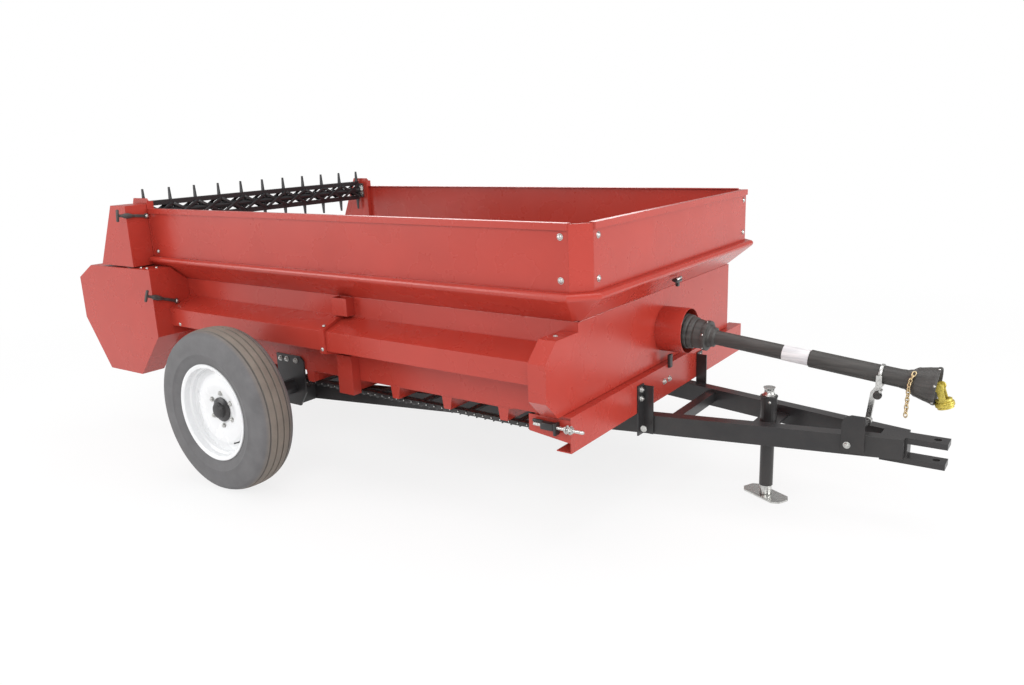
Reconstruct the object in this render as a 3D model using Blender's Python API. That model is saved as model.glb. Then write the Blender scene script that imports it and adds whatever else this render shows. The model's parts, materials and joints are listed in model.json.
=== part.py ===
"""Towed manure spreader, driven from a tractor's power take-off: flared load bed, apron chain
floor, two rear beaters, A-shaped tongue with a screw jack, and a telescoping drive shaft.

Metres. +X points forward to the hitch, +Y to the left, +Z up. The ground is at Z = 0.
Shapes are laid out with X = 0 at the front face of the flared box and Z = 0 on the ground;
the empty "spreader" then carries everything to the middle of the machine's length."""

import math

import bmesh
import bpy
from mathutils import Matrix, Vector

GAP = 0.0003            # between pieces that rest on each other
SHEET = 0.003           # folded sheet steel of guards, covers and flare panels
PLATE = 0.006           # flat steel of brackets

# Load bed
LEDGE_Z = 0.911         # top of the ledge that carries the flare panels
BOX_WIDTH = 1.524       # over the top rails
BOX_LENGTH = 2.449      # front face to the rear end of the flare panels
FLARE_HEIGHT = 0.230
RAIL_HEIGHT = 0.024     # folded top rail of a flare panel
RAIL_WIDTH = 0.024
RAIL_PROUD = 0.008      # how far the rail stands out of its panel
CORNER_LEG = 0.069      # each leg of the 45 degree front corners, at the rail
CORNER_LAP = 0.055      # corner plate's flange behind each panel
WALL_Y = 0.680          # outer face of a lower side wall
WALL_SHEET = 0.004
SLOPE_DROP = 0.115      # ledge down to the top of the lower wall
BEAD_PROUD = 0.028      # bead beyond the flare's outer face
BEAD_RADIUS = 0.014
WALL_DROP = 0.470       # ledge down to the lower edge of a side wall
FLOOR_DROP = 0.445      # ledge down to the top of the floor
FLOOR_THICK = 0.019
FRONT_WALL_X = -0.260
FRONT_SLOPE_DROP = 0.190

# Floor frame
CROSSMEMBER_DEPTH = 0.056
CROSSMEMBER_WIDTH = 0.050
CROSSMEMBER_FOOT = 0.020
CROSSMEMBER_SHEET = 0.004
CROSSMEMBER_X = (-0.415, -0.690, -0.965, -1.205, -1.480, -1.760, -2.040, -2.280)

# Apron chain
CHAIN_Y = 0.620
CHAIN_WIDTH = 0.030
CHAIN_THICK = 0.014
CHAIN_TOP_DROP = FLOOR_DROP - CHAIN_THICK / 2 - GAP    # the upper run lies on the floor
CHAIN_LOW_DROP = 0.545
CHAIN_FRONT_X = -0.170
CHAIN_REAR_X = -2.385
SLAT_SPACING = 0.250
SLAT_WIDTH = 0.030
SLAT_THICK = 0.010
APRON_SHAFT_RADIUS = 0.0175
LOOP_STEPS = 8          # facets of the apron round each shaft
EAR_HALF = 0.050        # half the width of a wall's ear at an apron shaft

# Wheels and axle
AXLE_X = -1.600
WHEEL_Y = 1.045         # middle of the tyre's section
WHEEL_RADIUS = 0.350
TYRE_HALF_WIDTH = 0.0875
RIM_RADIUS = 0.209
SEAT_RADIUS = 0.1957
RIM_HALF_WIDTH = 0.0758
SPINDLE_RADIUS = 0.025
HUB_RADIUS = 0.0447
ROUND_STEPS = 40
AXLE_BEAM = 0.064
AXLE_TOP_DROP = 0.581
AXLE_PLATE_LENGTH = 0.180
AXLE_PLATE_TOP_DROP = 0.415

# Tongue
BEAM_WIDTH = 0.050
BEAM_HEIGHT = 0.075
BEAM_TOP_DROP = 0.570
BEAM_FRONT_X = 0.857
BEAM_FRONT_Y = 0.060    # outer face of a beam at its front end
BEAM_SPREAD = 0.2166    # outer face's run outwards for each metre back
CLEVIS_WIDTH = 0.066
CLEVIS_BAR = 0.022
CLEVIS_TIP_X = 0.992
CLEVIS_BACK_X = 0.775
CLEVIS_PIN_X = 0.955
CLEVIS_HOLE = 0.0130
BRACE_X = 0.030
BRACE_WIDTH = 0.040

# Front channel and cover
CHANNEL_FACE_X = -0.050
CHANNEL_TOP_DROP = 0.420
CHANNEL_HEIGHT = 0.130
CHANNEL_FLANGE = 0.060
CHANNEL_HALF_LENGTH = 0.790
CHANNEL_SHEET = 0.004
COVER_FACE_X = -0.082
COVER_DEPTH = 0.070
COVER_REACH = 0.890     # right-hand edge of the cover, past the wall over the drive line
COVER_TOP_DROP = 0.150
COVER_PANEL_DROP = 0.116
COVER_BOTTOM_DROP = 0.4185
COVER_CHAMFER_Y = 0.070
COVER_CHAMFER_Z = 0.068
SHROUD_RADIUS = 0.092
SHROUD_FRONT_X = 0.030
SHAFT_DROP = 0.279      # drive shaft's axis at X = 0
SHAFT_FALL = 0.106      # its fall for each metre forward

# Side shield and posts
SHIELD_Y = 0.800
SHIELD_TOP_DROP = 0.200
SHIELD_EDGE_DROP = 0.243
SHIELD_LOW_DROP = 0.326
SHIELD_BACK_DROP = 0.350
POST_X = -1.205
POST_WIDTH = 0.086
POST_DEPTH = 0.045
POST_SHEET = 0.004
BAND_WIDTH = 0.028
BAND_PROUD = 0.010

# Rear end
REAR_X = -2.455         # front edge of the end plates
END_Y = 0.748           # outer face of an end plate
END_TOP_RISE = 0.278
GUARD_Y = 0.880
LOWER_GUARD_FRONT_X = -2.315
UPPER_GUARD_Y = 0.872
UPPER_BEATER = (-2.535, 0.205)   # X, and Z above the ledge
LOWER_BEATER = (-2.675, -0.225)
BEATER_HALF_LENGTH = 0.722
TOOTH_COUNT = 11
UPPER_TOOTH_TIP = 0.115
LOWER_TOOTH_TIP = 0.195
BEATER_SHAFT_RADIUS = 0.0175

# Drive shaft
SHAFT_PIVOT_X = -0.020  # rear universal joint
YOKE_X = 0.957          # front universal joint
INNER_TUBE_RADIUS = 0.0285
OUTER_TUBE_RADIUS = 0.0330
BELL_RADIUS = 0.067
BELL_BACK_X = 0.856
BELL_FRONT_X = 0.942
OUTER_TUBE_BACK_X = 0.508
YOKE_DROOP = math.radians(62)

# Shaft rest and jack
REST_X = 0.700
REST_PIN_X = 0.722
REST_PIN_DROP = 0.540
REST_PIN_RADIUS = 0.008
SADDLE_HALF = 0.010     # half the saddle's length along the shaft
JACK_X = 0.360
JACK_BODY_RADIUS = 0.031
JACK_LEG_RADIUS = 0.026
JACK_CAP_DROP = 0.466
JACK_TRAVEL = 0.090
FOOT_LENGTH = 0.190
FOOT_WIDTH = 0.090
FOOT_THICK = 0.006
FOOT_TURN = math.radians(-26)

GUARD_REAR_X = -2.958

# name: colour, roughness, metallic
FINISHES = {
    "red_paint": ((0.42, 0.045, 0.032), 0.35, 0.0),
    "black_paint": ((0.020, 0.020, 0.022), 0.40, 0.0),
    "white_paint": ((0.80, 0.80, 0.80), 0.35, 0.0),
    "tyre_rubber": ((0.060, 0.056, 0.052), 0.80, 0.0),
    "zinc": ((0.62, 0.62, 0.60), 0.35, 1.0),
    "black_plastic": ((0.035, 0.034, 0.033), 0.50, 0.0),
    "yellow_paint": ((0.55, 0.42, 0.05), 0.45, 0.0),
    "floor_board": ((0.20, 0.13, 0.08), 0.70, 0.0),
    "bare_steel": ((0.35, 0.34, 0.33), 0.45, 1.0),
}
AXES = {"x": Vector((1, 0, 0)), "y": Vector((0, 1, 0)), "z": Vector((0, 0, 1))}


def clear_scene():
    for thing in list(bpy.data.objects):
        bpy.data.objects.remove(thing)


def finish(node, kind):
    """A material of the node's own, in one of the machine's finishes."""
    colour, roughness, metallic = FINISHES[kind]
    material = bpy.data.materials.new(node)
    material.use_nodes = True
    shader = material.node_tree.nodes["Principled BSDF"]
    shader.inputs["Base Color"].default_value = (*colour, 1)
    shader.inputs["Roughness"].default_value = roughness
    shader.inputs["Metallic"].default_value = metallic
    material.diffuse_color = (*colour, 1)
    return material


def height(drop):
    """Height above the ground of what lies this far below the ledge."""
    return LEDGE_Z - drop


def mesh_object(bm, name="piece"):
    bmesh.ops.recalc_face_normals(bm, faces=bm.faces)
    mesh = bpy.data.meshes.new(name)
    bm.to_mesh(mesh)
    bm.free()
    thing = bpy.data.objects.new(name, mesh)
    bpy.context.scene.collection.objects.link(thing)
    return thing


def prism(outline, axis, low, high):
    """Extrudes an outline along an axis: (y, z) along x, (x, z) along y or (x, y) along z."""
    spots = {"x": lambda a, b: (low, a, b), "y": lambda a, b: (a, low, b), "z": lambda a, b: (a, b, low)}
    bm = bmesh.new()
    face = bm.faces.new([bm.verts.new(spots[axis](a, b)) for a, b in outline])
    made = bmesh.ops.extrude_face_region(bm, geom=[face], use_keep_orig=True)
    moved = [item for item in made["geom"] if isinstance(item, bmesh.types.BMVert)]
    bmesh.ops.translate(bm, vec=AXES[axis] * (high - low), verts=moved)
    return mesh_object(bm)


def box(x, y, z):
    """A block between two values on each axis."""
    return prism([(x[0], y[0]), (x[1], y[0]), (x[1], y[1]), (x[0], y[1])], "z", z[0], z[1])


def turned(profile, axis, centre, steps=ROUND_STEPS, phase=0.0):
    """Spins a closed (radius, along) profile about an axis through a centre."""
    bm = bmesh.new()
    ring = [bm.verts.new((radius, 0, along)) for radius, along in profile]
    edges = [bm.edges.new((ring[i], ring[(i + 1) % len(ring)])) for i in range(len(ring))]
    bmesh.ops.spin(bm, geom=ring + edges, cent=(0, 0, 0), axis=(0, 0, 1), angle=math.tau, steps=steps)
    bmesh.ops.remove_doubles(bm, verts=bm.verts, dist=1e-5)
    on_axis = [e for e in bm.edges if all(math.hypot(v.co.x, v.co.y) < 1e-6 for v in e.verts)]
    bmesh.ops.delete(bm, geom=on_axis, context="EDGES")
    turn = Vector((0, 0, 1)).rotation_difference(AXES[axis] if isinstance(axis, str) else axis)
    bmesh.ops.rotate(bm, cent=(0, 0, 0), matrix=Matrix.Rotation(phase, 3, "Z"), verts=bm.verts)
    bmesh.ops.rotate(bm, cent=(0, 0, 0), matrix=turn.to_matrix(), verts=bm.verts)
    bmesh.ops.translate(bm, vec=centre, verts=bm.verts)
    return mesh_object(bm)


def rod(start, end, radius, steps=16, end_radius=None):
    """A solid round bar, or a cone, between two points."""
    start, end = Vector(start), Vector(end)
    length = (end - start).length
    far = radius if end_radius is None else end_radius
    profile = [(0, 0), (radius, 0), (far, length), (0, length)]
    return turned(profile, (end - start).normalized(), start, steps)


def combine(target, tools, operation):
    """Applies one exact Boolean after another, and drops each tool."""
    for tool in tools:
        modifier = target.modifiers.new("join", "BOOLEAN")
        modifier.operation = operation
        modifier.solver = "EXACT"
        modifier.object = tool
        bpy.context.view_layer.objects.active = target
        bpy.ops.object.modifier_apply(modifier=modifier.name)
        bpy.data.objects.remove(tool)
    return target


def merged(*pieces):
    return combine(pieces[0], pieces[1:], "UNION")


def cut(target, *tools):
    return combine(target, tools, "DIFFERENCE")


def mirrored(thing):
    """The same shape on the other side of the machine."""
    bm = bmesh.new()
    bm.from_mesh(thing.data)
    bmesh.ops.scale(bm, vec=(1, -1, 1), verts=bm.verts)
    return mesh_object(bm)


def node(name, kind, thing, joint_at=None, parent=None):
    """Names a shape, gives it its finish, and sets its origin on its joint."""
    thing.name = thing.data.name = name
    thing.data.materials.clear()
    thing.data.materials.append(finish(name, kind))
    thing.data.shade_smooth()
    thing.data.set_sharp_from_angle(angle=math.radians(30))
    if joint_at is not None:
        thing.data.transform(Matrix.Translation(-Vector(joint_at)))
        thing.location = joint_at
    thing.parent = parent or bpy.data.objects["spreader"]
    return thing


def both_sides(name, kind, make, **placing):
    """A right-hand piece, on the -Y side, and its mirror image."""
    right = make()
    left = mirrored(right)
    node(name + "_right", kind, right, **placing)
    node(name + "_left", kind, left, **placing)


# ---------------------------------------------------------------- load bed

def plan(reach):
    """The load bed's outline seen from above, this far outside the lower walls: the right rear
    end, round the two front corners, to the left rear end."""
    half = WALL_Y + reach
    front = reach - (BOX_WIDTH / 2 - WALL_Y)
    flare_reach = BOX_WIDTH / 2 - WALL_Y
    leg = CORNER_LEG + (reach - flare_reach) * (2 - math.sqrt(2))
    right = [(-BOX_LENGTH, -half), (front - leg, -half), (front, -half + leg)]
    return right + [(x, -y) for x, y in reversed(right)]


def ledge():
    """Sloped ledge with its round bead, swept round the sides and the front."""
    flare = BOX_WIDTH / 2 - WALL_Y
    rise = SLOPE_DROP - 2 * BEAD_RADIUS
    run = flare + BEAD_PROUD - BEAD_RADIUS
    across = Vector((run, rise)).normalized()
    inner = Vector((-across.y, across.x)) * WALL_SHEET
    arc = [
        (run + BEAD_RADIUS * math.sin(a), -BEAD_RADIUS + BEAD_RADIUS * math.cos(a))
        for a in [math.radians(140 - 28 * i) for i in range(6)]
    ]
    back = flare - RAIL_PROUD - SHEET - 0.004
    back_low = -SLOPE_DROP + inner.y + (back - inner.x) * rise / run
    section = [(0, -SLOPE_DROP), *arc, (back, 0), (back, back_low), (inner.x, -SLOPE_DROP + inner.y)]
    bm = bmesh.new()
    rings = []
    for reach, above in section:
        rings.append([bm.verts.new((x, y, LEDGE_Z + above)) for x, y in plan(reach)])
    for this, after in zip(rings, rings[1:] + rings[:1]):
        for i in range(len(this) - 1):
            bm.faces.new((this[i], this[i + 1], after[i + 1], after[i]))
    bm.faces.new([ring[0] for ring in rings])
    bm.faces.new([ring[-1] for ring in reversed(rings)])
    return mesh_object(bm)


def flare_side():
    """Right-hand flare panel with its folded top rail."""
    outer = BOX_WIDTH / 2
    face = outer - RAIL_PROUD
    top = LEDGE_Z + FLARE_HEIGHT
    rail_low = top - RAIL_HEIGHT
    section = [
        (-face, LEDGE_Z + GAP), (-face, rail_low), (-outer, rail_low), (-outer, top),
        (-outer + RAIL_WIDTH, top), (-outer + RAIL_WIDTH, top - SHEET), (-face + SHEET, top - SHEET),
        (-face + SHEET, LEDGE_Z + GAP),
    ]
    return prism(section, "x", -BOX_LENGTH, -CORNER_LEG - GAP)


def flare_front():
    """Front flare panel with its folded top rail."""
    face = -RAIL_PROUD
    top = LEDGE_Z + FLARE_HEIGHT
    rail_low = top - RAIL_HEIGHT
    half = BOX_WIDTH / 2 - CORNER_LEG - GAP
    section = [
        (face, LEDGE_Z + GAP), (face, rail_low), (0, rail_low), (0, top),
        (-RAIL_WIDTH, top), (-RAIL_WIDTH, top - SHEET), (face - SHEET, top - SHEET),
        (face - SHEET, LEDGE_Z + GAP),
    ]
    return prism(section, "y", -half, half)


def corner_plate():
    """Right-hand 45 degree corner, lapped behind the side and front panels."""
    half = BOX_WIDTH / 2 - RAIL_PROUD
    lap = RAIL_PROUD + SHEET + GAP
    outside = BOX_WIDTH / 2
    leg = CORNER_LEG
    out = [(-leg, -half), (-RAIL_PROUD, -outside + leg)]
    back_side = [(-leg - CORNER_LAP, -outside + lap), (-leg, -outside + lap)]
    back_front = [(-lap, -outside + leg), (-lap, -outside + leg + CORNER_LAP)]
    inner = [
        (-lap - SHEET, -outside + leg + CORNER_LAP), (-lap - SHEET, -outside + leg + 0.002),
        (-leg - 0.002, -outside + lap + SHEET), (-leg - CORNER_LAP, -outside + lap + SHEET),
    ]
    return prism(back_side + out + back_front + inner, "z", LEDGE_Z + GAP, LEDGE_Z + FLARE_HEIGHT - SHEET - GAP)


def side_wall():
    """Right-hand lower wall, with an ear below its edge at each end of the apron for the shafts."""
    top = height(SLOPE_DROP) - GAP
    low = height(WALL_DROP)
    front = COVER_FACE_X - SHEET - GAP
    ear_low = height(CHAIN_LOW_DROP)
    channel_x = CHANNEL_FACE_X - CHANNEL_FLANGE - GAP
    notch_z = height(CHANNEL_TOP_DROP) + GAP
    rear = REAR_X + GAP
    outline = [
        (rear, ear_low), (CHAIN_REAR_X + EAR_HALF, ear_low), (CHAIN_REAR_X + EAR_HALF, low),
        (CHAIN_FRONT_X - EAR_HALF, low), (CHAIN_FRONT_X - EAR_HALF, ear_low), (channel_x, ear_low),
        (channel_x, notch_z), (front, notch_z), (front, top), (rear, top),
    ]
    return prism(outline, "y", -WALL_Y, -WALL_Y + WALL_SHEET)


def front_wall():
    """Front bulkhead: slopes back from the ledge, then drops to the floor."""
    top = height(SLOPE_DROP) - GAP
    top_x = -(BOX_WIDTH / 2 - WALL_Y) - WALL_SHEET - SHEET
    slope = height(FRONT_SLOPE_DROP)
    low = height(FLOOR_DROP) + 0.034
    half = WALL_Y - WALL_SHEET - GAP
    thick = WALL_SHEET
    rise = math.atan2(top - slope, top_x - FRONT_WALL_X)
    outline = [
        (top_x, top), (FRONT_WALL_X, slope), (FRONT_WALL_X, low), (FRONT_WALL_X - thick, low),
        (FRONT_WALL_X - thick, slope + thick * (1 - math.sin(rise)) / math.cos(rise)),
        (top_x - thick / math.sin(rise), top),
    ]
    return prism(outline, "y", -half, half)


def floor():
    half = WALL_Y - WALL_SHEET - GAP
    z = (height(FLOOR_DROP) - FLOOR_THICK, height(FLOOR_DROP))
    return box((CHAIN_REAR_X + 0.055, CHAIN_FRONT_X - 0.055), (-half, half), z)


def floor_frame():
    """Hat-section cross-members under the floor, joined by a flat rail along each wall."""
    top = height(WALL_DROP) - GAP
    low = top - CROSSMEMBER_DEPTH
    sheet = CROSSMEMBER_SHEET
    half = CROSSMEMBER_WIDTH / 2
    foot = half + CROSSMEMBER_FOOT
    reach = WALL_Y
    pieces = []
    for y in ((-reach, -reach + 0.030), (reach - 0.030, reach)):
        pieces.append(box((CROSSMEMBER_X[-1] - foot, CROSSMEMBER_X[0] + foot), y, (top - sheet, top)))
    hat = [
        (-foot, top), (foot, top), (foot, top - sheet), (half, top - sheet), (half - 0.008, low),
        (-half + 0.008, low), (-half, top - sheet), (-foot, top - sheet),
    ]
    for x in CROSSMEMBER_X:
        outline = [(x + across, up + 0.0001) for across, up in hat]
        pieces.append(prism(outline, "y", -reach + 0.002, reach - 0.002))
    return merged(*pieces)


# ---------------------------------------------------------------- apron

def apron_loop(outset, steps=LOOP_STEPS):
    """Stadium-shaped path of the apron, this far outside the chain's middle line."""
    radius = (CHAIN_LOW_DROP - CHAIN_TOP_DROP) / 2 + outset
    centre = height((CHAIN_LOW_DROP + CHAIN_TOP_DROP) / 2)
    points = []
    for end, start in ((CHAIN_FRONT_X, 90), (CHAIN_REAR_X, 270)):
        for i in range(steps + 1):
            angle = math.radians(start - 180 * i / steps)
            points.append((end + radius * math.cos(angle), centre + radius * math.sin(angle)))
    return points


def apron_slats(drop, lift):
    """Slats across one run of the apron, from chain to chain."""
    count = int((CHAIN_FRONT_X - CHAIN_REAR_X) / SLAT_SPACING)
    first = (CHAIN_FRONT_X + CHAIN_REAR_X - (count - 1) * SLAT_SPACING) / 2
    z = height(drop) + lift
    centres = [first + i * SLAT_SPACING for i in range(count)]
    return [box((x - SLAT_WIDTH / 2, x + SLAT_WIDTH / 2), (-CHAIN_Y, CHAIN_Y), (z, z + SLAT_THICK)) for x in centres]


def apron_upper():
    """Working run of the apron: both chains flat on the floor, with the slats on top."""
    half = CHAIN_THICK / 2
    z = height(CHAIN_TOP_DROP)
    ends = (CHAIN_REAR_X + GAP, CHAIN_FRONT_X - GAP)
    runs = [box(ends, (y - CHAIN_WIDTH / 2, y + CHAIN_WIDTH / 2), (z - half, z + half)) for y in (-CHAIN_Y, CHAIN_Y)]
    return merged(*runs, *apron_slats(CHAIN_TOP_DROP, half - 0.001))


def apron_lower():
    """Returning run of the apron, with both chains' turns round the shafts."""
    half = CHAIN_THICK / 2
    middle = height((CHAIN_LOW_DROP + CHAIN_TOP_DROP) / 2)
    runs = []
    for y in (-CHAIN_Y, CHAIN_Y):
        across = (y - CHAIN_WIDTH / 2, y + CHAIN_WIDTH / 2)
        wider = (across[0] - 0.01, across[1] + 0.01)
        band = cut(prism(apron_loop(half), "y", *across), prism(apron_loop(-half), "y", *wider))
        runs.append(cut(band, box((CHAIN_REAR_X, CHAIN_FRONT_X), wider, (middle, height(CHAIN_TOP_DROP) + 0.05))))
    return merged(*runs, *apron_slats(CHAIN_LOW_DROP, 0.001 - half - SLAT_THICK))


def apron_shaft(x):
    """Cross shaft with the two chain sprockets, inside the apron's loop."""
    z = height((CHAIN_LOW_DROP + CHAIN_TOP_DROP) / 2)
    end = WALL_Y - WALL_SHEET - GAP
    shaft = rod((x, -end, z), (x, end, z), APRON_SHAFT_RADIUS)
    wheel = ((CHAIN_LOW_DROP - CHAIN_TOP_DROP) / 2 - CHAIN_THICK / 2) * math.cos(math.pi / 2 / LOOP_STEPS) - GAP
    for y in (-CHAIN_Y, CHAIN_Y):
        disc = rod((x, y - 0.008, z), (x, y + 0.008, z), wheel, steps=20)
        shaft = merged(shaft, disc)
    return shaft


# ---------------------------------------------------------------- wheels and axle

def wheel_centre_z():
    """The tyre stands on one of its flat facets."""
    return WHEEL_RADIUS * math.cos(math.pi / ROUND_STEPS)


def turned_wheel(profile, steps=ROUND_STEPS):
    """Spins a (radius, outboard) profile about the right-hand wheel's axle."""
    flipped = [(radius, -along) for radius, along in profile]
    centre = (AXLE_X, -WHEEL_Y, wheel_centre_z())
    return turned(flipped, "y", centre, steps, phase=math.pi / steps)


def tyre():
    wide = TYRE_HALF_WIDTH
    seat = RIM_HALF_WIDTH - 0.0055
    outer = [
        (SEAT_RADIUS + GAP, seat), (RIM_RADIUS + 0.003, seat), (0.236, wide - 0.006), (0.275, wide),
        (0.315, wide - 0.0035), (0.338, wide - 0.013), (WHEEL_RADIUS - 0.0015, wide - 0.0275),
        (WHEEL_RADIUS, wide - 0.042),
    ]
    return turned_wheel(outer + [(radius, -along) for radius, along in reversed(outer)])


def rim():
    """Drop-centre barrel with flanges and a dished disc, open in the middle for the hub."""
    edge = RIM_HALF_WIDTH
    inner = SEAT_RADIUS - 0.0042
    lip = 0.0052
    return turned_wheel([
        (SEAT_RADIUS, edge - lip), (SEAT_RADIUS, -edge + lip), (RIM_RADIUS, -edge + lip),
        (RIM_RADIUS, -edge), (inner, -edge), (inner, 0.014), (0.170, 0.014), (0.140, 0.024),
        (0.095, 0.024), (HUB_RADIUS + GAP, 0.010), (HUB_RADIUS + GAP, 0.016), (0.095, 0.030),
        (0.142, 0.030), (0.172, 0.020), (inner, 0.020), (inner, edge), (RIM_RADIUS, edge),
        (RIM_RADIUS, edge - lip),
    ])


def hub():
    """Flanged hub with a closed cap, turning on the spindle."""
    bore = SPINDLE_RADIUS + 0.0005
    return turned_wheel([
        (bore, -0.070), (0.040, -0.070), (0.040, 0.0005), (0.0445, 0.0005), (0.0445, 0.0094),
        (HUB_RADIUS, 0.0094), (HUB_RADIUS, 0.030), (0.036, 0.046), (0, 0.050), (0, 0.020), (bore, 0.020),
    ], steps=20)


def axle():
    """Cross beam, a bolted plate at each side wall, and a spindle out to each wheel."""
    top = height(AXLE_TOP_DROP)
    half = AXLE_BEAM / 2
    plate_in = WALL_Y + GAP
    plate_out = plate_in + 0.008
    pieces = [box((AXLE_X - half, AXLE_X + half), (-plate_in - 0.004, plate_in + 0.004), (top - AXLE_BEAM, top))]
    long = AXLE_PLATE_LENGTH / 2
    for side in (-1, 1):
        y = sorted((side * plate_in, side * plate_out))
        outline = [
            (AXLE_X - long, height(AXLE_PLATE_TOP_DROP)), (AXLE_X + long - 0.02, height(AXLE_PLATE_TOP_DROP)),
            (AXLE_X + long, height(AXLE_PLATE_TOP_DROP) - 0.02), (AXLE_X + long, height(AXLE_TOP_DROP)),
            (AXLE_X + half + 0.012, top - AXLE_BEAM - 0.004), (AXLE_X - half - 0.012, top - AXLE_BEAM - 0.004),
            (AXLE_X - long, height(AXLE_TOP_DROP)),
        ]
        pieces.append(prism(outline, "y", *y))
        start = side * (plate_in + 0.002)
        shoulder = side * (WHEEL_Y - 0.080)
        end = side * (WHEEL_Y + 0.0185)
        thick, reach, far = SPINDLE_RADIUS + 0.010, abs(shoulder - start), abs(end - start)
        profile = [(0, 0), (thick, 0), (thick, reach), (SPINDLE_RADIUS, reach), (SPINDLE_RADIUS, far), (0, far)]
        pieces.append(turned(profile, Vector((0, side, 0)), (AXLE_X, start, wheel_centre_z()), 16))
    return merged(*pieces)


# ---------------------------------------------------------------- tongue

def beam_outer_y(x):
    """Outer face of a tongue beam at this distance along the machine, as a positive number."""
    return BEAM_FRONT_Y + (BEAM_FRONT_X - x) * BEAM_SPREAD


def tongue_beam():
    """Right-hand beam of the A-frame, from the hitch back to the axle."""
    across = BEAM_WIDTH * math.hypot(1, BEAM_SPREAD)
    rear = AXLE_X + AXLE_BEAM / 2 + GAP
    outline = [
        (BEAM_FRONT_X, -beam_outer_y(BEAM_FRONT_X)), (BEAM_FRONT_X, -beam_outer_y(BEAM_FRONT_X) + across),
        (rear, -beam_outer_y(rear) + across), (rear, -beam_outer_y(rear)),
    ]
    top = height(BEAM_TOP_DROP)
    seat = box((CLEVIS_BACK_X - GAP, BEAM_FRONT_X + 0.01), (-CLEVIS_WIDTH / 2 - GAP, 0.1), (top - CLEVIS_BAR - GAP, top + 0.01))
    return cut(prism(outline, "z", top - BEAM_HEIGHT, top), seat)


def hitch_clevis():
    """Flat bar let into the beams' tips and one below them, joined by a plate in front of the beams."""
    half = CLEVIS_WIDTH / 2
    top = height(BEAM_TOP_DROP) - CLEVIS_BAR
    low = height(BEAM_TOP_DROP) - BEAM_HEIGHT - GAP
    block = (BEAM_FRONT_X + GAP, BEAM_FRONT_X + 0.008)
    pieces = [box((CLEVIS_BACK_X, CLEVIS_TIP_X), (-half, half), (top, top + CLEVIS_BAR))]
    pieces.append(box((CLEVIS_BACK_X, CLEVIS_TIP_X - 0.004), (-half, half), (low - CLEVIS_BAR, low)))
    pieces.append(box(block, (-half, half), (low - 0.005, top + 0.005)))
    whole = merged(*pieces)
    pin = rod((CLEVIS_PIN_X, 0, low - 2 * CLEVIS_BAR), (CLEVIS_PIN_X, 0, top + 2 * CLEVIS_BAR), CLEVIS_HOLE, steps=16)
    return cut(whole, pin)


def tongue_brace():
    """Square cross tube between the two beams, just ahead of the front channel."""
    z = height(BEAM_TOP_DROP) - 0.012
    across = BEAM_WIDTH * math.hypot(1, BEAM_SPREAD)
    x0, x1 = BRACE_X, BRACE_X + BRACE_WIDTH
    inner = [beam_outer_y(x) - across - GAP for x in (x0, x1)]
    outline = [(x0, -inner[0]), (x1, -inner[1]), (x1, inner[1]), (x0, inner[0])]
    return prism(outline, "z", z - 0.040, z)


def front_channel():
    """Cross channel below the front cover, open to the rear, with a closed right-hand end."""
    top = height(CHANNEL_TOP_DROP)
    low = top - CHANNEL_HEIGHT
    back = CHANNEL_FACE_X - CHANNEL_FLANGE
    sheet = CHANNEL_SHEET
    section = [
        (CHANNEL_FACE_X, low), (CHANNEL_FACE_X, top), (back, top), (back, top - sheet),
        (CHANNEL_FACE_X - sheet, top - sheet), (CHANNEL_FACE_X - sheet, low + sheet),
        (back, low + sheet), (back, low),
    ]
    half = CHANNEL_HALF_LENGTH
    return prism(section, "y", -half, half)


def side_corner_plate():
    """Plate that closes the channel's right-hand end and reaches back below the cover."""
    top = height(COVER_BOTTOM_DROP) - 0.012
    outline = [
        (CHANNEL_FACE_X, top), (CHANNEL_FACE_X, height(0.512)), (CHANNEL_FACE_X - 0.170, height(0.492)),
        (CHANNEL_FACE_X - 0.170, top),
    ]
    y = -CHANNEL_HALF_LENGTH - GAP
    plate = prism(outline, "y", y - SHEET, y)
    lug = box((CHANNEL_FACE_X - 0.165, CHANNEL_FACE_X - 0.150), (y - 0.001, -WALL_Y - GAP), (height(0.470), height(0.440)))
    return merged(plate, lug)


def hitch_bracket():
    """Right-hand upright angle that hangs the front channel on its tongue beam."""
    face = CHANNEL_FACE_X + GAP
    y = -beam_outer_y(CHANNEL_FACE_X) - GAP
    top = height(0.440)
    low = height(BEAM_TOP_DROP) - BEAM_HEIGHT + 0.004
    flat = box((face, face + PLATE), (y - 0.050, y), (low, top))
    leg = box((face, face + 0.046), (y - PLATE, y), (low, top - 0.006))
    return merged(flat, leg)


# ---------------------------------------------------------------- front cover and drive shaft

def shaft_z(x):
    """Height of the drive shaft's axis."""
    return height(SHAFT_DROP) - SHAFT_FALL * x


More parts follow.
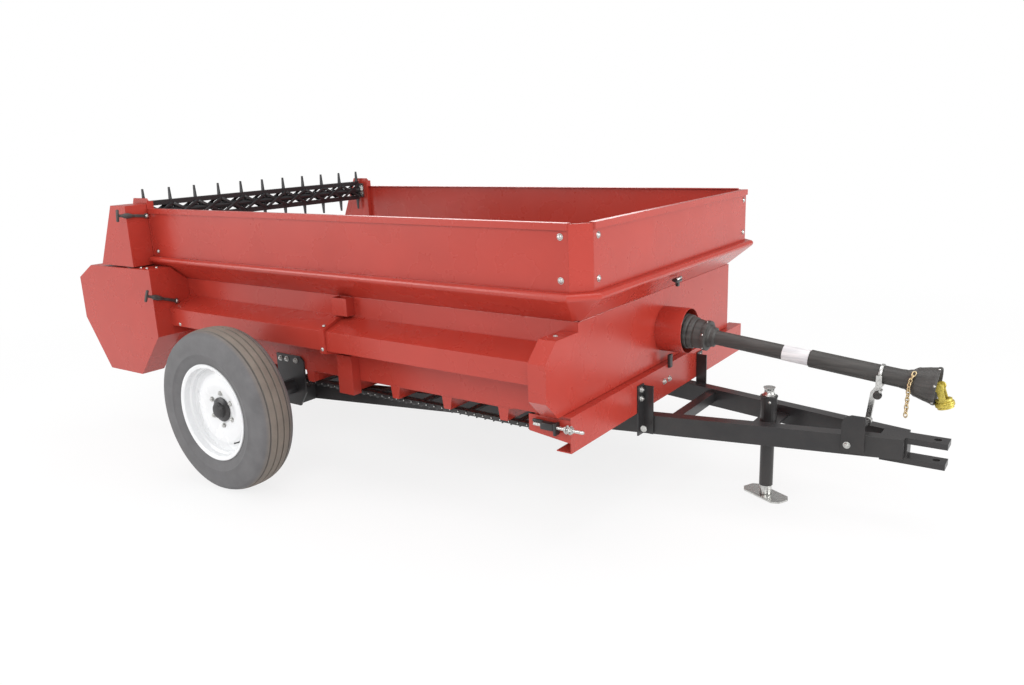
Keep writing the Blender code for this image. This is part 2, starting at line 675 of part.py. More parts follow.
def front_cover():
    """Folded cover over the gearbox; its right-hand end is a three-sided cap."""
    top = height(COVER_TOP_DROP)
    low = height(COVER_BOTTOM_DROP)
    right = -COVER_REACH
    inner = -WALL_Y + 0.001
    far = WALL_Y + 0.012
    outline = [
        (inner, height(COVER_PANEL_DROP)), (inner, top), (right + COVER_CHAMFER_Y, top),
        (right, top - COVER_CHAMFER_Z), (right, low + COVER_CHAMFER_Z), (right + COVER_CHAMFER_Y, low),
        (far, low), (far, height(COVER_PANEL_DROP)),
    ]
    back = COVER_FACE_X - COVER_DEPTH
    shell = prism(outline, "x", back, COVER_FACE_X)
    s = SHEET
    slant = s * 0.42
    hollow = [
        (inner + s, height(COVER_PANEL_DROP) + 0.01), (inner + s, top - s), (right + COVER_CHAMFER_Y + slant, top - s),
        (right + s, top - COVER_CHAMFER_Z - slant), (right + s, low + COVER_CHAMFER_Z + slant),
        (right + COVER_CHAMFER_Y + slant, low + s), (far - s, low + s), (far - s, height(COVER_PANEL_DROP) + 0.01),
    ]
    shell = cut(shell, prism(hollow, "x", back - 0.01, COVER_FACE_X - SHEET))
    shell = cut(shell, box((back - 0.01, COVER_FACE_X - SHEET - 0.0001), (-WALL_Y - GAP, far + 0.01), (low - 0.01, top + 0.1)))
    bore = rod((COVER_FACE_X - 0.02, 0, shaft_z(0)), (COVER_FACE_X + 0.02, 0, shaft_z(0)), SHROUD_RADIUS - SHEET, steps=40)
    return cut(shell, bore)


def pto_shroud():
    """Short open tube on the cover round the rear end of the drive shaft."""
    x0 = COVER_FACE_X + GAP
    length = SHROUD_FRONT_X - x0
    profile = [
        (SHROUD_RADIUS - SHEET, 0), (SHROUD_RADIUS, 0), (SHROUD_RADIUS, length), (SHROUD_RADIUS - SHEET, length),
    ]
    return turned(profile, "x", (x0, 0, shaft_z(0)), steps=40)


def gearbox():
    """Plain block for the gearbox between the bulkhead and the cover, with its input stub."""
    z = shaft_z(0)
    block = box((FRONT_WALL_X + GAP, COVER_FACE_X - 0.030), (-0.110, 0.110), (z - 0.110, z + 0.075))
    return merged(block, rod((COVER_FACE_X - 0.040, 0, z), (SHAFT_PIVOT_X - 0.016, 0, z), 0.0175))


def shaft_point(x):
    return Vector((x, 0, shaft_z(x)))


def along_shaft(profile_at_x, steps=16):
    """Spins (radius, x) points about the sloping shaft axis."""
    start = profile_at_x[0][1]
    stretch = math.hypot(1, SHAFT_FALL)
    profile = [(radius, (x - start) * stretch) for radius, x in profile_at_x]
    axis = (shaft_point(1) - shaft_point(0)).normalized()
    return turned(profile, axis, shaft_point(start), steps)


def pto_inner_shaft():
    """Rear guard cone and the inner guard tube."""
    r = INNER_TUBE_RADIUS
    ball = 0.0155
    pivot = SHAFT_PIVOT_X
    return along_shaft([
        (0, pivot - ball), (ball * 0.5, pivot - ball * 0.866), (ball * 0.866, pivot - ball * 0.5), (ball, pivot),
        (0.030, pivot + 0.010), (0.030, 0.004), (0.070, 0.004), (0.070, 0.030), (0.062, 0.062),
        (0.052, 0.070), (0.052, 0.100), (0.040, 0.110), (0.040, 0.128), (r, 0.130), (r, 0.800), (0, 0.800),
    ])


def pto_outer_shaft():
    """Outer guard tube and the front bell, open at the front."""
    r = OUTER_TUBE_RADIUS
    bore = INNER_TUBE_RADIUS + 0.0005
    back = OUTER_TUBE_BACK_X
    return along_shaft([
        (bore, back), (r, back), (r, BELL_BACK_X - 0.020), (0.037, BELL_BACK_X), (0.052, BELL_BACK_X + 0.020),
        (BELL_RADIUS, BELL_FRONT_X), (BELL_RADIUS - 0.004, BELL_FRONT_X), (0.048, BELL_BACK_X + 0.026),
        (0.046, BELL_BACK_X + 0.012), (0.020, BELL_BACK_X + 0.012), (0.020, 0.830), (bore, 0.830),
    ])


def yoke_centre():
    return shaft_point(YOKE_X)


def pto_yoke():
    """Front universal joint: a fork, its cross and the drooping tractor-side yoke with its collar."""
    centre = yoke_centre()
    axis = (shaft_point(1) - shaft_point(0)).normalized()
    turn = Matrix.Rotation(YOKE_DROOP, 3, "Y")
    down = turn @ axis
    neck = rod(centre - axis * 0.118, centre + axis * 0.004, 0.0195, steps=16)
    cross = rod(centre + Vector((0, -0.027, 0)), centre + Vector((0, 0.027, 0)), 0.009, steps=16)
    tube_profile = [
        (0, 0.030), (0.026, 0.030), (0.026, 0.042), (0.031, 0.042), (0.031, 0.060), (0.027, 0.060), (0.027, 0.068),
        (0, 0.068),
    ]
    tube = turned(tube_profile, down, centre, steps=16)
    across = down.cross(Vector((0, 1, 0))).normalized()
    fork = []
    for y0, y1 in ((-0.026, -0.018), (0.018, 0.026)):
        corners = [centre + across * a * 0.012 + down * b for a, b in ((-1, -0.012), (1, -0.012), (1, 0.038), (-1, 0.038))]
        fork.append(prism([(corner.x, corner.z) for corner in corners], "y", y0, y1))
    return merged(neck, cross, *fork, tube)


# ---------------------------------------------------------------- shaft rest and jack

def rest_bracket():
    """Arched plate on the right-hand beam, with the rest arm's pivot pin."""
    z = height(REST_PIN_DROP)
    x0, x1 = REST_X - 0.042, REST_X + 0.038
    outer = beam_outer_y(x0) + GAP
    low = height(BEAM_TOP_DROP) - 0.062
    top = height(0.493)
    outline = [(x0, low), (x1, low), (x1, top), (x0 + 0.032, top), (x0 + 0.010, top - 0.010), (x0, top - 0.032)]
    pin = rod((REST_PIN_X, -outer - 0.003, z), (REST_PIN_X, 0.020, z), REST_PIN_RADIUS, steps=16)
    return merged(prism(outline, "y", -outer - PLATE, -outer), pin)


def pto_rest_arm():
    """Arm that turns on the pin and carries the drive shaft in an open saddle."""
    z = height(REST_PIN_DROP)
    saddle_x = REST_X + 0.058
    saddle_z = shaft_z(saddle_x)
    clear = OUTER_TUBE_RADIUS + 0.005
    lift = shaft_z(saddle_x + SADDLE_HALF) - OUTER_TUBE_RADIUS * math.hypot(1, SHAFT_FALL) - GAP
    eye = rod((REST_PIN_X, -0.012, z), (REST_PIN_X, 0.012, z), 0.015, steps=20)
    bar = prism(
        [(REST_PIN_X - 0.009, z), (REST_PIN_X + 0.009, z), (REST_PIN_X + 0.022, lift - 0.034), (saddle_x + 0.009, lift),
         (saddle_x - 0.009, lift), (REST_PIN_X + 0.004, lift - 0.034)],
        "y", -0.008, 0.008)
    base = box((saddle_x - SADDLE_HALF, saddle_x + SADDLE_HALF), (-clear - 0.005, clear + 0.005), (lift - 0.006, lift))
    ears = []
    for side in (-1, 1):
        y = sorted((side * clear, side * (clear + 0.005)))
        ears.append(box((saddle_x - SADDLE_HALF, saddle_x + SADDLE_HALF), y, (lift - 0.003, saddle_z + 0.004)))
    arm = merged(eye, bar, base, *ears)
    return cut(arm, rod((REST_PIN_X, -0.02, z), (REST_PIN_X, 0.02, z), REST_PIN_RADIUS + 0.0005, steps=16))


def jack_body():
    """Jack housing on a cross plate between the beams."""
    x = JACK_X
    low = height(BEAM_TOP_DROP) - BEAM_HEIGHT + 0.004
    top = height(0.500)
    housing = rod((x, 0, low), (x, 0, top), JACK_BODY_RADIUS, steps=20)
    across = BEAM_WIDTH * math.hypot(1, BEAM_SPREAD)
    x0, x1 = x - 0.045, x + 0.045
    inner = [beam_outer_y(v) - across - GAP for v in (x0, x1)]
    outline = [(x0, -inner[0]), (x1, -inner[1]), (x1, inner[1]), (x0, inner[0])]
    z = height(BEAM_TOP_DROP) - 0.030
    plate = prism(outline, "z", z - 0.010, z)
    whole = merged(housing, plate)
    return cut(whole, rod((x, 0, low - 0.02), (x, 0, top - 0.010), JACK_LEG_RADIUS + 0.0005, steps=20))


def jack_cap():
    x = JACK_X
    return rod((x, 0, height(0.500) + GAP), (x, 0, height(JACK_CAP_DROP)), 0.020, steps=16)


def jack_leg():
    x = JACK_X
    top = height(0.500) - 0.0105 - JACK_TRAVEL
    return rod((x, 0, FOOT_THICK + GAP), (x, 0, top), JACK_LEG_RADIUS, steps=20)


def jack_foot():
    """Flat foot with cropped corners, turned a little on the leg."""
    half_l, half_w, crop = FOOT_LENGTH / 2, FOOT_WIDTH / 2, 0.022
    outline = [
        (-half_l + crop, -half_w), (half_l - crop, -half_w), (half_l, -half_w + crop), (half_l, half_w - crop),
        (half_l - crop, half_w), (-half_l + crop, half_w), (-half_l, half_w - crop), (-half_l, -half_w + crop),
    ]
    turn = Matrix.Rotation(FOOT_TURN, 2)
    turned_outline = [tuple(turn @ Vector(point) + Vector((JACK_X, 0))) for point in outline]
    return prism(turned_outline, "z", 0, FOOT_THICK)


# ---------------------------------------------------------------- side shield and posts

def shield(x0, x1):
    """Folded drive shield: a sloped top, an upright face and a return to the wall."""
    wall = -WALL_Y - GAP
    s = SHEET
    outer = [
        (wall, height(SHIELD_TOP_DROP)), (-SHIELD_Y, height(SHIELD_EDGE_DROP)),
        (-SHIELD_Y, height(SHIELD_LOW_DROP)), (wall, height(SHIELD_BACK_DROP)),
    ]
    inner = [
        (wall, height(SHIELD_BACK_DROP) + s), (-SHIELD_Y + s, height(SHIELD_LOW_DROP) + s),
        (-SHIELD_Y + s, height(SHIELD_EDGE_DROP) - s), (wall, height(SHIELD_TOP_DROP) - s),
    ]
    return prism(outer + inner, "x", x0, x1)


def post(x, over_shield):
    """Hat-section post on the right-hand wall; over the shield it becomes a joint band."""
    low = height(WALL_DROP) - 0.060
    top = height(SLOPE_DROP) - 2 * GAP
    face = -WALL_Y - POST_DEPTH
    wall = -WALL_Y - GAP
    x0, x1 = x - POST_WIDTH / 2, x + POST_WIDTH / 2
    s = POST_SHEET

    def length(z0, z1):
        plan_outline = [
            (x0, wall), (x0, face), (x1, face), (x1, wall), (x1 - s, wall), (x1 - s, face + s), (x0 + s, face + s),
            (x0 + s, wall),
        ]
        return prism(plan_outline, "z", z0, z1)

    if not over_shield:
        return length(low, top)
    upper = length(height(SHIELD_TOP_DROP) + 0.010, top)
    lower = length(low, height(SHIELD_BACK_DROP) - 0.010)
    p = BAND_PROUD
    outer = [
        (wall, height(SHIELD_TOP_DROP) + p + 0.006), (-SHIELD_Y - p, height(SHIELD_EDGE_DROP) + p),
        (-SHIELD_Y - p, height(SHIELD_LOW_DROP) - p), (wall, height(SHIELD_BACK_DROP) - p - 0.006),
    ]
    g = GAP + 0.0005
    inner = [
        (wall, height(SHIELD_BACK_DROP) - g), (-SHIELD_Y - g, height(SHIELD_LOW_DROP) - g),
        (-SHIELD_Y - g, height(SHIELD_EDGE_DROP) + g), (wall, height(SHIELD_TOP_DROP) + g),
    ]
    band = prism(outer + inner, "x", x0 + 0.0001, x0 + BAND_WIDTH)
    return merged(upper, band, lower)


# ---------------------------------------------------------------- rear end

def end_plate():
    """Right-hand end plate with its front flange; both beaters run in it."""
    up = LEDGE_Z
    outline = [
        (REAR_X, up + END_TOP_RISE - 0.012), (REAR_X - 0.012, up + END_TOP_RISE), (REAR_X - 0.124, up + END_TOP_RISE),
        (REAR_X - 0.250, up), (REAR_X - 0.425, up - 0.080), (REAR_X - 0.470, up - 0.140), (REAR_X - 0.470, up - 0.330),
        (REAR_X - 0.300, up - 0.555), (REAR_X - 0.060, up - 0.555), (REAR_X, up - 0.495),
    ]
    sheet = prism(outline, "y", -END_Y, -END_Y + WALL_SHEET)
    upper = box((REAR_X, REAR_X + 0.0055), (-END_Y - 0.012, -END_Y + 0.022), (up + 0.002, up + END_TOP_RISE - 0.014))
    lower = box((REAR_X - 0.004, REAR_X), (-END_Y + 0.001, -WALL_Y + WALL_SHEET + 0.006), (up - 0.490, up - 0.003))
    plate = merged(sheet, upper, lower)
    for spot in (UPPER_BEATER, LOWER_BEATER):
        bore = rod(
            (spot[0], -END_Y - 0.01, up + spot[1]), (spot[0], -END_Y + 0.02, up + spot[1]),
            BEATER_SHAFT_RADIUS + 0.0005, steps=16)
        plate = cut(plate, bore)
    return plate


def bearing(spot):
    """Flange bearing inside the right-hand end plate."""
    z = LEDGE_Z + spot[1]
    inner = -END_Y + WALL_SHEET + GAP
    half = 0.042
    plate = box((spot[0] - half, spot[0] + half), (inner, inner + 0.008), (z - half, z + half))
    boss = rod((spot[0], inner + 0.004, z), (spot[0], inner + 0.016, z), 0.030, steps=16)
    bore = rod((spot[0], inner - 0.01, z), (spot[0], inner + 0.03, z), BEATER_SHAFT_RADIUS + 0.0005, steps=16)
    return cut(merged(plate, boss), bore)


def rotor(spot, tip, arms, bar_reach, bar):
    """Beater: shaft, cross plates that carry the bars, and a pair of teeth at every station."""
    x, z = spot[0], LEDGE_Z + spot[1]
    end = END_Y + 0.010
    half = BEATER_HALF_LENGTH
    pieces = [rod((x, -end, z), (x, end, z), BEATER_SHAFT_RADIUS, steps=16)]
    step = 2 * half / (TOOTH_COUNT - 1)
    for k in range(arms):
        angle = math.pi / 2 + math.tau * k / arms
        out = Vector((math.cos(angle), 0, math.sin(angle)))
        across = Vector((-out.z, 0, out.x))
        centre = Vector((x, 0, z)) + out * bar_reach
        corners = [centre + across * a * 0.016 + out * b * bar / 2 for a, b in ((-1, -1), (1, -1), (1, 1), (-1, 1))]
        pieces.append(prism([(c.x, c.z) for c in corners], "y", -half - 0.004, half + 0.004))
        for i in range(TOOTH_COUNT):
            y = -half + i * step
            root, mid = Vector((x, 0, z)) + out * 0.010, Vector((x, 0, z)) + out * (bar_reach - 0.004)
            point = Vector((x, 0, z)) + out * tip
            wide, narrow = 0.013, 0.005
            corners = [root - across * wide, mid - across * wide, point - across * narrow,
                       point + across * narrow, mid + across * wide, root + across * wide]
            pieces.append(prism([(c.x, c.z) for c in corners], "y", y - 0.003, y + 0.003))
    return merged(*pieces)


def lower_guard():
    """Many-sided guard over the right-hand beater drive, open towards the machine."""
    up = LEDGE_Z
    front = LOWER_GUARD_FRONT_X
    outline = [
        (front, up - 0.045), (front, up - 0.371), (front - 0.187, up - 0.580), (front - 0.470, up - 0.583),
        (GUARD_REAR_X, up - 0.329), (GUARD_REAR_X, up - 0.119), (front - 0.518, up - 0.050),
    ]
    s = SHEET
    hollow = [
        (front - s, up - 0.045 - s), (front - s, up - 0.371 + 0.001), (front - 0.187 - 0.002, up - 0.580 + s),
        (front - 0.470 + 0.002, up - 0.583 + s), (GUARD_REAR_X + s, up - 0.329 + 0.001),
        (GUARD_REAR_X + s, up - 0.119 - 0.001), (front - 0.518 + 0.001, up - 0.050 - s),
    ]
    shell = prism(outline, "y", -GUARD_Y, -WALL_Y - GAP)
    shell = cut(shell, prism(hollow, "y", -GUARD_Y + s, -WALL_Y + 0.01))
    behind = box((GUARD_REAR_X - 0.01, REAR_X + 0.0065), (-END_Y - 0.0130, -WALL_Y + 0.02), (up - 0.7, up + 0.1))
    slope = [
        (-WALL_Y + 0.001, up - SLOPE_DROP - 0.004), (-GUARD_Y + 0.080, up - 0.018), (-GUARD_Y + 0.080, up + 0.01),
        (-WALL_Y + 0.001, up + 0.01),
    ]
    under_ledge = prism(slope, "x", GUARD_REAR_X, front + 0.01)
    return cut(shell, behind, under_ledge)


def upper_guard():
    """Tapered guard over the right-hand end of the upper beater."""
    up = LEDGE_Z
    front = REAR_X
    top = up + 0.252
    low = up - 0.040
    outline = [(front, top), (front, low), (front - 0.278, low), (front - 0.125, top)]
    s = SHEET
    hollow = [(front - s, top - s), (front - s, low - 0.01), (front - 0.278 + 1.2 * s, low - 0.01), (front - 0.125 + s, top - s)]
    shell = prism(outline, "y", -UPPER_GUARD_Y, -END_Y - 0.0126)
    return cut(shell, prism(hollow, "y", -UPPER_GUARD_Y + s, -WALL_Y))


def apron_drive_cover():
    """Small guard on the left-hand wall over the apron drive."""
    x0, x1 = REAR_X + 0.020, REAR_X + 0.330
    z0, z1 = height(0.560), height(0.330)
    y = WALL_Y + GAP
    outline = [(x0, z0 + 0.05), (x0 + 0.05, z0), (x1 - 0.05, z0), (x1, z0 + 0.05), (x1, z1), (x0, z1)]
    s = SHEET
    hollow = [(x0 + s, z0 + 0.051), (x0 + 0.051, z0 + s), (x1 - 0.051, z0 + s), (x1 - s, z0 + 0.051), (x1 - s, z1 - s), (x0 + s, z1 - s)]
    return cut(prism(outline, "y", y, y + 0.090), prism(hollow, "y", y - 0.01, y + 0.090 - s))


def rear_crossmember():
    """Square tube between the end plates, below the lower beater."""
    half = END_Y - WALL_SHEET - GAP
    return box((REAR_X - 0.110, REAR_X - 0.060), (-half, half), (LEDGE_Z - 0.550, LEDGE_Z - 0.500))


def chain_tensioner():
    """Threaded take-up rod with its block, beside the right-hand corner plate."""
    y = -CHANNEL_HALF_LENGTH - GAP - SHEET - GAP - 0.018
    z = height(0.456)
    rod_piece = rod((CHANNEL_FACE_X - 0.140, y, z), (0.012, y, z), 0.0065, steps=14)
    block = box((CHANNEL_FACE_X - 0.125, CHANNEL_FACE_X - 0.060), (y - 0.012, y + 0.018), (z - 0.014, z + 0.014))
    nut = rod((CHANNEL_FACE_X + 0.020, y, z), (CHANNEL_FACE_X + 0.034, y, z), 0.013, steps=6)
    return merged(block, rod_piece, nut)


# ---------------------------------------------------------------- assembly

def build():
    clear_scene()
    whole = bpy.data.objects.new("spreader", None)
    bpy.context.scene.collection.objects.link(whole)

    node("ledge", "red_paint", ledge())
    both_sides("flare_side", "red_paint", flare_side)
    node("flare_front", "red_paint", flare_front())
    both_sides("corner_plate", "red_paint", corner_plate)
    both_sides("side_wall", "red_paint", side_wall)
    node("front_wall", "red_paint", front_wall())
    node("floor", "floor_board", floor())
    node("floor_frame", "red_paint", floor_frame())

    node("apron_upper", "bare_steel", apron_upper())
    node("apron_lower", "bare_steel", apron_lower())
    node("apron_shaft_front", "bare_steel", apron_shaft(CHAIN_FRONT_X))
    node("apron_shaft_rear", "bare_steel", apron_shaft(CHAIN_REAR_X))

    node("axle", "black_paint", axle())
    for side, sign in (("right", -1), ("left", 1)):
        at = (AXLE_X, sign * WHEEL_Y, wheel_centre_z())
        for name, kind, make in (("tyre", "tyre_rubber", tyre), ("rim", "white_paint", rim), ("hub", "black_paint", hub)):
            shape = make() if sign < 0 else mirrored_and_dropped(make())
            node(f"{name}_{side}", kind, shape, joint_at=at)

    both_sides("tongue_beam", "black_paint", tongue_beam)
    node("hitch_clevis", "black_paint", hitch_clevis())
    node("tongue_brace", "black_paint", tongue_brace())
    both_sides("hitch_bracket", "black_paint", hitch_bracket)
    node("front_channel", "red_paint", front_channel())
    node("side_corner_plate", "red_paint", side_corner_plate())
    node("chain_tensioner", "zinc", chain_tensioner())

    node("front_cover", "red_paint", front_cover())
    node("pto_shroud", "red_paint", pto_shroud())
    node("gearbox", "black_paint", gearbox())
    node("pto_inner_shaft", "black_plastic", pto_inner_shaft(), joint_at=shaft_point(SHAFT_PIVOT_X))
    node("pto_outer_shaft", "black_plastic", pto_outer_shaft(), joint_at=shaft_point(OUTER_TUBE_BACK_X))
    node("pto_yoke", "yellow_paint", pto_yoke(), joint_at=yoke_centre())

    node("rest_bracket", "black_paint", rest_bracket())
    node("pto_rest_arm", "zinc", pto_rest_arm(), joint_at=(REST_PIN_X, 0, height(REST_PIN_DROP)))
    node("jack_body", "black_paint", jack_body())
    node("jack_cap", "zinc", jack_cap())
    node("jack_leg", "black_paint", jack_leg(), joint_at=(JACK_X, 0, 0))
    node("jack_foot", "zinc", jack_foot(), joint_at=(JACK_X, 0, 0))

    joint = POST_X - POST_WIDTH / 2
    node("shield_rear", "red_paint", shield(LOWER_GUARD_FRONT_X + GAP, joint - 0.001))
    node("shield_front", "red_paint", shield(joint + 0.001, COVER_FACE_X - COVER_DEPTH - 0.004))
    node("post_right", "red_paint", post(POST_X, True))
    node("post_left", "red_paint", mirrored_and_dropped(post(POST_X, False)))

    both_sides("end_plate", "red_paint", end_plate)
    for spot, name in ((UPPER_BEATER, "upper"), (LOWER_BEATER, "lower")):
        right = bearing(spot)
        left = mirrored(right)
        node(f"{name}_bearing_right", "zinc", right)
        node(f"{name}_bearing_left", "zinc", left)
    rotors = (
        ("beater_upper", UPPER_BEATER, UPPER_TOOTH_TIP, 2, 0.043, 0.024),
        ("beater_lower", LOWER_BEATER, LOWER_TOOTH_TIP, 3, 0.110, 0.011),
    )
    for name, spot, tip, arms, reach, bar in rotors:
        node(name, "black_paint", rotor(spot, tip, arms, reach, bar), joint_at=(spot[0], 0, LEDGE_Z + spot[1]))
    node("lower_guard", "red_paint", lower_guard())
    node("upper_guard", "red_paint", upper_guard())
    node("apron_drive_cover", "red_paint", apron_drive_cover())
    node("rear_crossmember", "red_paint", rear_crossmember())
    centre_on_length(whole)


def centre_on_length(whole):
    """Slides the machine along X until the origin is at the middle of its length."""
    reach = [piece.location.x + vertex.co.x for piece in whole.children for vertex in piece.data.vertices]
    whole.location.x = -(min(reach) + max(reach)) / 2


def mirrored_and_dropped(thing):
    """The mirror image alone."""
    other = mirrored(thing)
    bpy.data.objects.remove(thing)
    return other


build()
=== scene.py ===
"""Finishes, fittings and stage for a towed manure spreader.

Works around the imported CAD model: +X points to the hitch, +Y to the left, the ground is Z = 0.
Each operator makes one piece or one group of like pieces, and can be run again from the sidebar."""

import json
import math

import bpy
from mathutils import Matrix, Vector


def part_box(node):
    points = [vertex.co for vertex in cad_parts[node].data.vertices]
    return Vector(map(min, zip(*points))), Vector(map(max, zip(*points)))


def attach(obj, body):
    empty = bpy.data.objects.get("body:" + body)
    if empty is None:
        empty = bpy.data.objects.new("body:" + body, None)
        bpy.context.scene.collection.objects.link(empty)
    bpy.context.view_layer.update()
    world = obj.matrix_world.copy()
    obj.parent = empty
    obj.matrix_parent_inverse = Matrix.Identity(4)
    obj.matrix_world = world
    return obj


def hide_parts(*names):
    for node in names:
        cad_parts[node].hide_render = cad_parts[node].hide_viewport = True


bl_info = {
    "name": "Manure spreader detailing",
    "version": (1, 0, 0),
    "blender": (4, 5, 0),
    "location": "3D View > Sidebar > Spreader",
    "description": "Finishes, fittings and stage for a towed manure spreader",
    "category": "Object",
}

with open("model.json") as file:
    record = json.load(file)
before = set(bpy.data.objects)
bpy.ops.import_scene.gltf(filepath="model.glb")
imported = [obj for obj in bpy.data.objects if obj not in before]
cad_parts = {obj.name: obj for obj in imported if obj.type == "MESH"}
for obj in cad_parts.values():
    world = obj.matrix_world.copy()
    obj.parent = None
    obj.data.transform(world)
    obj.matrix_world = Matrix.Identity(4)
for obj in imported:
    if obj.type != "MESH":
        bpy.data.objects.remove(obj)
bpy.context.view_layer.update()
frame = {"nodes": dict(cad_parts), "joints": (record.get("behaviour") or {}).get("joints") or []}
JOINTS = {joint["name"]: joint for joint in frame["joints"]}
X, Y, Z = Vector((1, 0, 0)), Vector((0, 1, 0)), Vector((0, 0, 1))
BOX_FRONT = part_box("flare_front")[1].x      # front face of the flared box
BOX_SIDE = -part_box("flare_side_right")[0].y
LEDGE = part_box("flare_side_right")[0].z
LEAF = 0.0006                               # play between a fitting and what it sits on
INNER_TUBE = 0.0285                         # radius of the drive shaft's thinner guard tube
OUTER_TUBE = 0.033                         # radius of its thicker one
AXLE_PLATE_Y = 0.6885                       # outer face of an axle side plate
PANEL_SKIN = 0.008                          # depth of the flare panels behind their rails
CORNER_BOLT = 0.099                         # from a corner of the box to its nearest bolts
RIM_BORE = 0.0452                           # centre hole of a wheel disc
NUT_CIRCLE = 0.071                         # radius of the ring of wheel nuts
NUTS = 6
LINK_PITCH = 0.0135                         # guard chain, from one link to the next


def at(x, y, z):
    """A point given from the box's front face, the middle line and the ledge."""
    return Vector((BOX_FRONT + x, y, LEDGE + z))


def middle(node):
    """The middle of a node's box."""
    low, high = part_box(node)
    return (low + high) / 2


# ---------------------------------------------------------------- settings

class SpreaderFinishes(bpy.types.PropertyGroup):
    red: bpy.props.FloatVectorProperty(
        name="Red paint", description="Satin paint of the bed and guards",
        subtype="COLOR", size=3, min=0, max=1, default=(0.425, 0.04, 0.026))
    black: bpy.props.FloatVectorProperty(
        name="Black paint", description="Frame, beaters and chain",
        subtype="COLOR", size=3, min=0, max=1, default=(0.016, 0.016, 0.018))
    white: bpy.props.FloatVectorProperty(
        name="Wheel white", description="Gloss paint of the wheel discs",
        subtype="COLOR", size=3, min=0, max=1, default=(0.82, 0.83, 0.84))
    rubber: bpy.props.FloatVectorProperty(
        name="Rubber", description="Side wall of the tyres",
        subtype="COLOR", size=3, min=0, max=1, default=(0.125, 0.123, 0.126))
    dust: bpy.props.FloatVectorProperty(
        name="Dust", description="Dry dust on treads and low surfaces",
        subtype="COLOR", size=3, min=0, max=1, default=(0.25, 0.215, 0.18))
    wear: bpy.props.FloatProperty(
        name="Edge wear", description="How far the paint is rubbed at its edges",
        subtype="FACTOR", min=0, max=1, default=0.35)


class SpreaderFittings(bpy.types.PropertyGroup):
    bolt: bpy.props.FloatProperty(
        name="Bolt head", description="Radius of a common bolt head",
        unit="LENGTH", min=0.004, max=0.03, default=0.0095)
    pitch: bpy.props.FloatProperty(
        name="Chain pitch", description="Length of one apron chain link",
        unit="LENGTH", min=0.02, max=0.1, default=0.0415)
    grooves: bpy.props.IntProperty(
        name="Tread grooves", description="Grooves round each tyre", min=1, max=9, default=4)
    groove_depth: bpy.props.FloatProperty(
        name="Groove depth", description="Depth of the tread grooves",
        unit="LENGTH", min=0.001, max=0.02, default=0.0065)


class SpreaderStage(bpy.types.PropertyGroup):
    azimuth: bpy.props.FloatProperty(
        name="Azimuth", description="Camera bearing, from looking along +Y",
        subtype="ANGLE", default=math.radians(35.889))
    elevation: bpy.props.FloatProperty(
        name="Elevation", description="Camera angle above the horizon",
        subtype="ANGLE", default=math.radians(14.096))
    roll: bpy.props.FloatProperty(
        name="Roll", description="Camera roll", subtype="ANGLE", default=math.radians(2.237))
    lens: bpy.props.FloatProperty(
        name="Lens", description="Focal length on a 36 mm sensor, in millimetres",
        min=10, max=200, default=29.38)
    place: bpy.props.FloatVectorProperty(
        name="Place", description="Camera place from the box's front face, middle line and ledge",
        subtype="XYZ", unit="LENGTH", size=3, default=(1.3615, -3.0618, 0.5202))
    lamps: bpy.props.FloatProperty(
        name="Lamps", description="Brightness of the soft boxes", min=0, max=5, default=1.0)


# ---------------------------------------------------------------- material groups

def new_group(name, inputs, outputs):
    """A node group with named sockets, and its two end nodes."""
    group = bpy.data.node_groups.new(name, "ShaderNodeTree")
    for label, kind, value in inputs:
        socket = group.interface.new_socket(label, in_out="INPUT", socket_type=kind)
        socket.default_value = value
    for label, kind in outputs:
        group.interface.new_socket(label, in_out="OUTPUT", socket_type=kind)
    return group, group.nodes.new("NodeGroupInput"), group.nodes.new("NodeGroupOutput")


def math_node(tree, operation, first, second=None, clamp=False):
    """A Math node whose inputs are sockets or numbers; returns its output."""
    node = tree.nodes.new("ShaderNodeMath")
    node.operation = operation
    node.use_clamp = clamp
    for i, value in enumerate((first, second)):
        if value is None:
            continue
        if isinstance(value, (int, float)):
            node.inputs[i].default_value = value
        else:
            tree.links.new(value, node.inputs[i])
    return node.outputs[0]


def span(tree, value, from_low, from_high, to_low=0.0, to_high=1.0):
    """A clamped Map Range from one pair of numbers or sockets to another."""
    node = tree.nodes.new("ShaderNodeMapRange")
    tree.links.new(value, node.inputs["Value"])
    ends = {"From Min": from_low, "From Max": from_high, "To Min": to_low, "To Max": to_high}
    for label, end in ends.items():
        if isinstance(end, (int, float)):
            node.inputs[label].default_value = end
        else:
            tree.links.new(end, node.inputs[label])
    return node.outputs["Result"]


def noise(tree, scale, detail=3.0, roughness=0.55, stretch=None):
    """Noise over Object coordinates, optionally stretched; returns its value."""
    coordinates = tree.nodes.new("ShaderNodeTexCoord").outputs["Object"]
    if stretch:
        mapping = tree.nodes.new("ShaderNodeMapping")
        mapping.inputs["Scale"].default_value = stretch
        tree.links.new(coordinates, mapping.inputs["Vector"])
        coordinates = mapping.outputs["Vector"]
    node = tree.nodes.new("ShaderNodeTexNoise")
    tree.links.new(coordinates, node.inputs["Vector"])
    node.inputs["Detail"].default_value = detail
    node.inputs["Roughness"].default_value = roughness
    if isinstance(scale, (int, float)):
        node.inputs["Scale"].default_value = scale
    else:
        tree.links.new(scale, node.inputs["Scale"])
    return node.outputs["Fac"]


